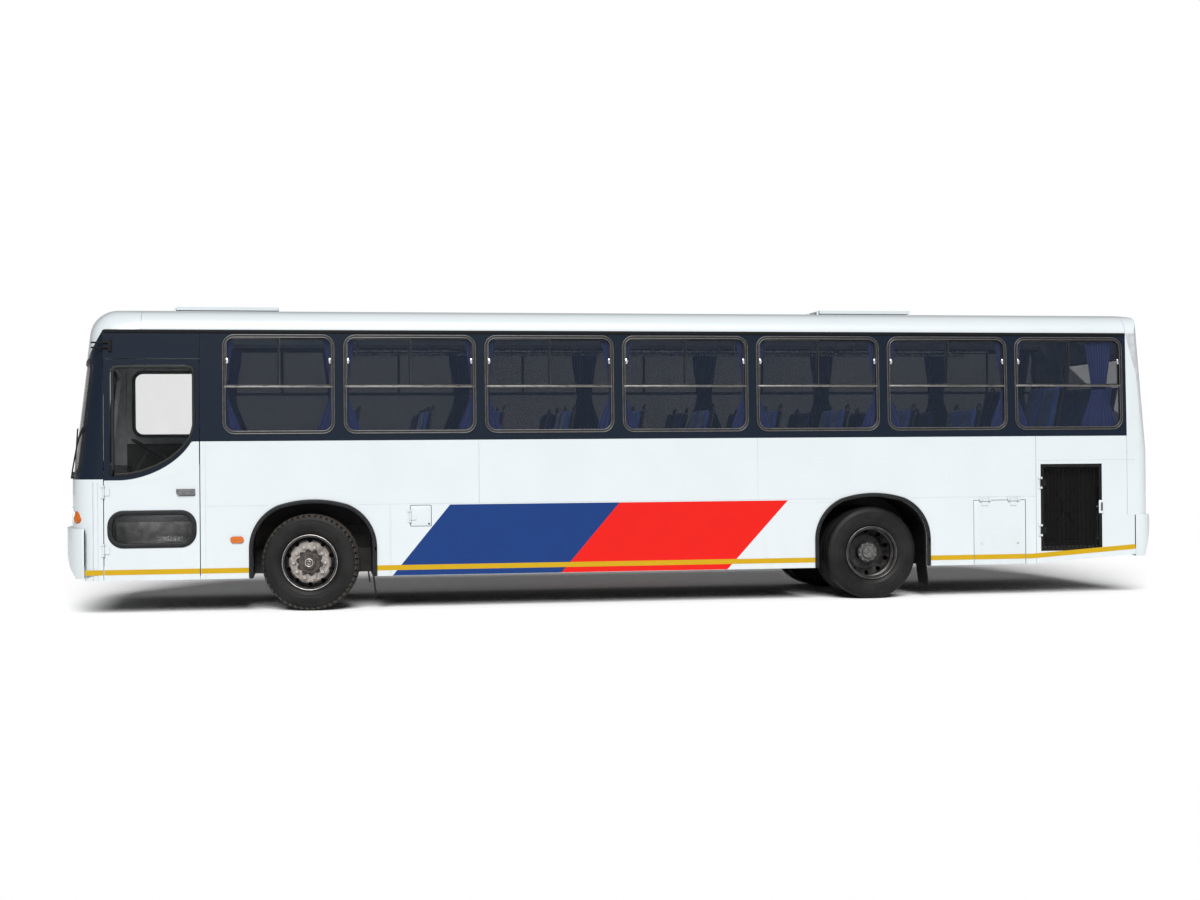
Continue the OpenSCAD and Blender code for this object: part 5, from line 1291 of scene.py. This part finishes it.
SWEEP_START = door_front + 0.155
SWEEP_TOP = 2.0
SWEEP_POWER = 1.8
BAND_SWEEP = (0.8, 0.592)
RUBBER_SWEEP = (0.779, 0.548)
SHEET_JOINT = (front_x + 0.685, 3.135)
SHEET_JOINT_RADIUS = 1.75
SHEET_LAP = 0.006
RUBBER_LAP = 0.02
RUBBER_FRONT = door_front + 0.075
RUBBER_REAR = SWEEP_START + 0.778
RUBBER_HEAD = door_top - 0.062
RUBBER_CORNER = 0.075
PORT_INSET = 0.031
PORT_HEIGHTS = (0.697, 1.093)
PORT_CORNER = 0.163
HANDLE_SPAN = (door_rear - 0.24, door_rear - 0.044)
HANDLE_HEIGHTS = (1.239, 1.314)
HANDLE_CLIP = 0.04
TOUCH = 1e-4


def sweep(x, reach, drop):
    """Height of a curve that runs level under the door's glass and turns up at its rear edge."""
    share = max(0.0, min(1.0, (x - SWEEP_START) / reach)) ** SWEEP_POWER
    return SWEEP_TOP - drop * (1.0 - share) ** (1 / SWEEP_POWER)


def sheet_foot(x):
    """Height of the white sweep's lower edge, just under the joint of the door's two sheets."""
    joint_x, joint_z = SHEET_JOINT
    return joint_z - math.sqrt(SHEET_JOINT_RADIUS**2 - (x - joint_x) ** 2) - SHEET_LAP


def band_height(x):
    """Height at which the white sweep ends and the black one begins."""
    return min(waist, sweep(x, *BAND_SWEEP))


def rubber_height(x):
    """Height of the lower edge of the upper window's rubber."""
    return sweep(x, *RUBBER_SWEEP)


def rubber_cover(x):
    """Height up to which the black sweep runs behind that rubber."""
    return rubber_height(x) + RUBBER_LAP


def door_sheet(x0, x1, low, high):
    """A thin sheet on the door between two curves."""
    part = panel(x0, x1, 0.0, 1.0)
    level_edges = [e for e in part.edges if e.calc_length() != 1.0]
    bmesh.ops.subdivide_edges(part, edges=level_edges, cuts=47)
    for v in part.verts:
        v.co.z = high(v.co.x) if v.co.z > 0.5 else low(v.co.x)
    return part


def door_window_outline():
    """Flat outline of the rubber round the upper door window."""
    part = door_sheet(RUBBER_FRONT, RUBBER_REAR, rubber_height, lambda x: RUBBER_HEAD)
    bmesh.ops.dissolve_faces(part, faces=part.faces[:])
    head = [v for v in part.verts if v.co.z > RUBBER_HEAD - TOUCH]
    ends = [v for v in part.verts if min(abs(v.co.x - RUBBER_FRONT), abs(v.co.x - RUBBER_REAR)) < TOUCH]
    corners = [v for v in ends if v in head or v.co.x < RUBBER_FRONT + TOUCH]
    bmesh.ops.dissolve_verts(part, verts=[v for v in head if v not in ends])
    soften(part, corners, RUBBER_CORNER, 7, "VERTICES")
    return part


white_sweep = door_sheet(door_front + 0.002, door_rear - 0.002, sheet_foot, band_height)
white_sweep = thicken(white_sweep, -0.001, 0.0016)
left_piece("door_white_sweep", white_sweep, "passenger_door", coach_white)
black_sweep = door_sheet(door_front + 0.08, RUBBER_REAR - 0.002, band_height, rubber_cover)
black_sweep = thicken(black_sweep, -0.001, 0.0014)
left_piece("door_black_sweep", black_sweep, "passenger_door", band_black)
door_rubbers = bmesh.new()
add_to_side(door_rubbers, ring(door_window_outline(), 0.032, -0.02, 0.009, 0.007, 3), LEFT)
port = panel(door_front + PORT_INSET, door_rear - PORT_INSET, *PORT_HEIGHTS, PORT_CORNER)
add_to_side(door_rubbers, ring(port, 0.052, -0.02, 0.012, 0.009, 3), LEFT)
make_piece("door_rubbers", door_rubbers, "passenger_door", trim_rubber, 50.0)
seal_low = (door_rear - 0.014, -wall - 0.011, skirt + 0.06)
seal_high = (door_rear + 0.02, -wall - 0.001, door_top)
left_piece("door_seal", block(seal_low, seal_high, 0.003), "bus", trim_rubber)
handle = panel(*HANDLE_SPAN, *HANDLE_HEIGHTS)
clipped = [v for v in handle.verts if v.co.x < HANDLE_SPAN[0] + TOUCH and v.co.z < HANDLE_HEIGHTS[0] + TOUCH]
soften(handle, clipped, HANDLE_CLIP, 1, "VERTICES")
handle = thicken(handle, -0.004, 0.006, 0.002)
left_piece("door_handle", handle, "passenger_door", handle_grey)

# Step plates with raised lozenges, and a bright strip on the upper riser's right part, partly a painted patch
# of sunlight

STEP_RISE = 0.285
STEP_DEPTH = 0.3
STAIR_Y = -(half_width - 0.69)
PLATE_COLUMNS = 22
PLATE_PITCH = 0.041
FLAT_ROWS = 6
FLAT_PITCH = 0.044
RISER_ROWS = 5
STRIP_COLUMNS = 9
STRIP_ROWS = 2
STRIP_PITCH = 0.039
STRIP_ROW_PITCH = 0.025
step_x0 = door_front + 0.05
step_x1 = door_rear - 0.03
strip_x0 = step_x0 + 0.42
strip_x1 = step_x1 - 0.13
strip_y = STAIR_Y - 0.006
strip_z = FLOOR - STEP_RISE
upright_face = Matrix.Rotation(math.pi / 2, 4, "X")


def lozenge(bm, place, tilted, length):
    """A small raised lozenge that leans to one side or the other."""
    tilt = Matrix.Rotation(math.radians(45 if tilted else -45), 4, "Z")
    shape = place @ tilt @ Matrix.Diagonal((length, 0.005, 1, 1))
    bmesh.ops.create_cone(bm, cap_ends=False, segments=4, radius1=1, radius2=0.4, depth=0.002, matrix=shape)


plates = bmesh.new()
for level in (1, 2):
    y = STAIR_Y - STEP_DEPTH * (level - 1)
    z = FLOOR - STEP_RISE * level
    stamp(plates, block((step_x0, y - 0.29, z + 0.0005), (step_x1, y - 0.004, z + 0.0025)))
    stamp(plates, block((step_x0, y - 0.003, z + 0.004), (step_x1, y - 0.0005, z + 0.23)))
    for i in range(PLATE_COLUMNS):
        for k in range(FLAT_ROWS):
            x = step_x0 + 0.03 + i * PLATE_PITCH
            flat = Matrix.Translation((x, y - 0.04 - k * FLAT_PITCH, z + 0.0035))
            lozenge(plates, flat, (i + k) % 2, 0.015)
            if k < RISER_ROWS:
                riser = Matrix.Translation((x, y - 0.004, z + 0.03 + k * PLATE_PITCH))
                lozenge(plates, riser @ upright_face, (i + k) % 2, 0.015)
make_piece("step_plates", plates, "bus", step_plate)
# The bright strip covers only the riser's right part, where sunlight falls: partly painted light
strip_low = (strip_x0, strip_y, strip_z + 0.022)
kick_strip_painted_light = block(strip_low, (strip_x1, strip_y + 0.003, strip_z + 0.075), 0.001)
for i in range(STRIP_COLUMNS):
    for k in range(STRIP_ROWS):
        x = strip_x0 + 0.02 + i * STRIP_PITCH
        riser = Matrix.Translation((x, strip_y - 0.001, strip_z + 0.036 + k * STRIP_ROW_PITCH))
        lozenge(kick_strip_painted_light, riser @ upright_face, (i + k) % 2, 0.014)
make_piece("kick_strip_painted_light", kick_strip_painted_light, "bus", bright_latch)

# Dark aprons hung behind the wheels, painted shade under the body, and the dark joints beside the bumpers

APRON_Y = 0.547
APRON_HALF = 0.005
APRON_TOP = 0.63
APRON_NEAR = 0.42
APRON_FAR = 0.66
LONG_APRON_FAR = 0.98
JOINT_WIDTH = 0.011
NOSE_JOINT = (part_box("front_bumper")[1].x, 0.515, 0.885)
TAIL_JOINT = (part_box("rear_bumper")[0].x - JOINT_WIDTH, 0.52, 0.9)
# Dark sheets behind each wheel stand in for the shade under the body: painted shade
shade_aprons = bmesh.new()
bumper_joints = bmesh.new()
for side in SIDES:
    rear_reach = LONG_APRON_FAR if side == LEFT else APRON_FAR
    for axle, reach in ((front_axle_x, APRON_FAR), (rear_axle_x, rear_reach)):
        for start, end in ((-APRON_FAR, -APRON_NEAR), (APRON_NEAR, reach)):
            low = (axle + start, side * APRON_Y - APRON_HALF, skirt + 0.006)
            high = (axle + end, side * APRON_Y + APRON_HALF, APRON_TOP)
            stamp(shade_aprons, block(low, high, 0.001))
    for x, low, high in (NOSE_JOINT, TAIL_JOINT):
        add_to_side(bumper_joints, block((x, -0.004, low), (x + JOINT_WIDTH, 0.0012, high)), side)
make_piece("wheel_shade_aprons", shade_aprons, "bus", chassis_black)
make_piece("bumper_joints", bumper_joints, "bus", trim_rubber)

# A dark screen behind the engine lid's louvres

lid_low, lid_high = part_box("engine_lid")
louvre_x = tail_x - 0.034
louvre_low = (louvre_x, lid_low.y + 0.08, lid_low.z + 0.05)
louvre_high = (louvre_x + 0.004, lid_high.y - 0.08, lid_high.z - 0.08)
make_piece("louvre_screen", block(louvre_low, louvre_high), "engine_hatch", grille_black)

# Radiator door: fine mesh over its bars, and a white latch plate with a dark slot

RADIATOR_X = back_x - 1.373
RADIATOR_WIDTH = 0.73
MESH_EDGE = 0.024
MESH_COLUMNS = 40
MESH_ROWS = 54
WIRE = 0.0016
LATCH_PLATE = (-0.035, 0.031, 0.925, 1.075)
LATCH_SLOT = (-0.013, 0.011, 0.952, 1.05)
rad_low, rad_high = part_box("radiator_door")
latch_x = RADIATOR_X + RADIATOR_WIDTH
mesh_x0 = RADIATOR_X + MESH_EDGE
mesh_x1 = latch_x - MESH_EDGE
mesh_z0 = rad_low.z + MESH_EDGE
mesh_z1 = rad_high.z - MESH_EDGE
wires = bmesh.new()
for i in range(1, MESH_COLUMNS):
    x = mesh_x0 + (mesh_x1 - mesh_x0) * i / MESH_COLUMNS
    add_to_side(wires, rod((x, -0.007, mesh_z0), (x, -0.007, mesh_z1), WIRE, 4), LEFT)
for i in range(1, MESH_ROWS):
    z = mesh_z0 + (mesh_z1 - mesh_z0) * i / MESH_ROWS
    add_to_side(wires, rod((mesh_x0, -0.0065, z), (mesh_x1, -0.0065, z), WIRE, 4), LEFT)
make_piece("grille_mesh", wires, "radiator_hatch", grille_black)


def latch_plate(before, after, low, high, corner):
    """A flat plate across the radiator door's rear edge."""
    return panel(latch_x + before, latch_x + after, low, high, corner)


latch = thicken(latch_plate(*LATCH_PLATE, 0.008), 0.0012, 0.009, 0.003)
left_piece("grille_latch", latch, "radiator_hatch", coach_white)
slot = thicken(latch_plate(*LATCH_SLOT, 0.01), 0.008, 0.012, 0.001)
left_piece("grille_latch_slot", slot, "radiator_hatch", dash_plastic)

# Small fittings: fuel flap knob, service flap locks, lamp rims, corner lenses, screen and tail rubbers

FUEL_KNOB_X = front_x + 3.873
FUEL_KNOB_Z = 0.912
LOCK_Z = 0.6
LOCK_SHARES = (0.15, 0.85)
HEADLAMPS = (half_width - 0.61, half_width - 0.4)
HEADLAMP_Z = 1.03
CORNER_LENS = (0.024, 0.1, 0.05)
CORNER_LENS_Z = 1.003
CORNER_TURN = math.radians(26)
CORNER_SINK = 0.008
SCREEN_LAP = 0.014
SCREEN_CORNER = 0.134
TAIL_LAP = 0.012
TAIL_CORNER = 0.122
TAIL_INSET = 0.338
RUBBER_WIDTH = 0.044
knob = rod((FUEL_KNOB_X, -0.001, FUEL_KNOB_Z), (FUEL_KNOB_X, 0.008, FUEL_KNOB_Z), 0.011, 14, 0.009)
left_piece("fuel_knob", knob, "fuel_hatch", dash_plastic, 40.0)
locks = bmesh.new()
for share in LOCK_SHARES:
    x = service_x0 + share * (service_x1 - service_x0)
    add_to_side(locks, rod((x, -0.001, LOCK_Z), (x, 0.004, LOCK_Z), 0.013, 16, 0.011), LEFT)
make_piece("service_locks", locks, "service_hatch", bright_latch, 40.0)
lamp_rims = bmesh.new()
corner_lenses = bmesh.new()
for side in SIDES:
    for y in HEADLAMPS:
        lean = math.asin(y / nose_radius)
        out = Vector((-math.cos(lean), side * math.sin(lean), 0))
        spot = Vector((nose_plan(y), side * y, HEADLAMP_Z))
        stamp(lamp_rims, hoop(spot - out * 0.002, out, 0.092, 0.006, 40))
    hub = Vector((nose_plan(half_width), side * corner_y, CORNER_LENS_Z))
    turn = Matrix.Rotation(math.pi - side * CORNER_TURN, 4, "Z")
    reach = Matrix.Translation((corner_radius - CORNER_SINK, 0, 0))
    shape = Matrix.Translation(hub) @ turn @ reach @ Matrix.Diagonal((*CORNER_LENS, 1.0))
    bmesh.ops.create_uvsphere(corner_lenses, u_segments=24, v_segments=14, radius=1.0, matrix=shape)
make_piece("lamp_rims", lamp_rims, "bus", bright_latch, 60.0)
make_piece("corner_lenses", corner_lenses, "bus", amber_lens, 60.0)


def screen_rubber():
    """Rubber round the windscreen, bent to the raked nose."""
    low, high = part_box("windscreen")
    lap = SCREEN_LAP
    part = panel(low.y - lap, high.y + lap, low.z - lap, high.z + lap, SCREEN_CORNER)
    ring(part, RUBBER_WIDTH, -0.002, 0.007, 0.004, 2)
    long_edges = [e for e in part.edges if e.calc_length() > 0.2]
    bmesh.ops.subdivide_edges(part, edges=long_edges, cuts=24)
    for v in part.verts:
        y = v.co.x
        v.co = Vector((screen_x(y, v.co.z) - v.co.y, y, v.co.z))
    return face_out(part)


def tail_rubber():
    """Rubber round the tail window, leaned with the wall."""
    low = waist + 0.15 - TAIL_LAP
    high = gutter - 0.245 + TAIL_LAP
    half = half_width - TAIL_INSET
    part = panel(-half, half, low, high, TAIL_CORNER)
    ring(part, RUBBER_WIDTH, -0.004, 0.009, 0.006, 3)
    face_rear = Matrix(((0, 1, 0, tail_x), (1, 0, 0, 0), (0, 0, 1, 0), (0, 0, 0, 1)))
    pivot = Vector((tail_x, 0, tail_kink))
    lean = Matrix.Translation(pivot) @ Matrix.Rotation(-tail_lean, 4, "Y") @ Matrix.Translation(-pivot)
    return face_out(move(part, lean @ face_rear))


make_piece("screen_rubber", screen_rubber(), "bus", trim_rubber, 50.0)
make_piece("tail_rubber", tail_rubber(), "bus", trim_rubber, 50.0)

# Camera at the photograph's station

CAMERA_SPOT = Vector((-3.473, -20.092, 1.632))
CAMERA_YAW = math.radians(9.38)
CAMERA_PITCH = math.radians(0.172)
CAMERA_ROLL = math.radians(-0.449)
SENSOR_WIDTH = 36.0
FOCAL_LENGTH = 52.5
ground_reach = math.cos(CAMERA_PITCH)
ahead = Vector((math.sin(CAMERA_YAW), math.cos(CAMERA_YAW), 0)) * ground_reach
forward = ahead + Vector((0, 0, math.sin(CAMERA_PITCH)))
sideways = Vector((math.cos(CAMERA_YAW), -math.sin(CAMERA_YAW), 0))
upward = sideways.cross(forward)
picture_right = math.cos(CAMERA_ROLL) * sideways + math.sin(CAMERA_ROLL) * upward
picture_up = -math.sin(CAMERA_ROLL) * sideways + math.cos(CAMERA_ROLL) * upward
camera_data = bpy.data.cameras.new("camera")
camera_data.sensor_fit = "HORIZONTAL"
camera_data.sensor_width = SENSOR_WIDTH
camera_data.lens = FOCAL_LENGTH
camera_data.clip_end = 300.0
camera = linked("camera", camera_data)
columns = Matrix((picture_right, picture_up, -forward)).transposed().to_4x4()
camera.matrix_world = Matrix.Translation(CAMERA_SPOT) @ columns
scene.camera = camera

# Studio: white floor and sky, and one soft sun above the camera's side

PAPER_WHITE = (0.97, 0.97, 0.97)
SUN_ENERGY = 4.7
SUN_SPREAD = math.radians(34)
SUN_WAY = Vector((0.12, 0.8, -0.6))
SKY_LIGHT = 0.14
SKY_MIRRORED = 0.3
SKY_SHOWN = 1.0
ground = bmesh.new()
bmesh.ops.create_grid(ground, x_segments=1, y_segments=1, size=60.0)
studio_floor = linked("studio_floor", drawn("studio_floor", ground))
floor_paper = Finish("floor_paper", Base_Color=PAPER_WHITE, Roughness=0.95, Specular_IOR_Level=0.0)
studio_floor.data.materials.append(floor_paper.material)

sun_data = bpy.data.lights.new("soft_sun", "SUN")
sun_data.energy = SUN_ENERGY
sun_data.angle = SUN_SPREAD
sun = linked("soft_sun", sun_data)
sun.rotation_mode = "QUATERNION"
sun.rotation_quaternion = SUN_WAY.to_track_quat("-Z", "Y")

sky = bpy.data.worlds.new("sky")
sky.use_nodes = True
sky_tree = sky.node_tree
rays = sky_tree.nodes.new("ShaderNodeLightPath")


def backdrop(strength):
    """White sky of one strength."""
    made = sky_tree.nodes.new("ShaderNodeBackground")
    made.inputs["Color"].default_value = (1.0, 1.0, 1.0, 1.0)
    made.inputs["Strength"].default_value = strength
    return made.outputs[0]


def backdrop_for(ray, first, second):
    """The second sky for one kind of ray, and the first for all others."""
    made = sky_tree.nodes.new("ShaderNodeMixShader")
    sky_tree.links.new(rays.outputs[ray], made.inputs[0])
    sky_tree.links.new(first, made.inputs[1])
    sky_tree.links.new(second, made.inputs[2])
    return made.outputs[0]


light = backdrop_for("Is Glossy Ray", backdrop(SKY_LIGHT), backdrop(SKY_MIRRORED))
shown = backdrop_for("Is Camera Ray", light, backdrop(SKY_SHOWN))
sky_tree.links.new(shown, sky_tree.nodes["World Output"].inputs["Surface"])
scene.world = sky
scene.view_settings.view_transform = "Standard"
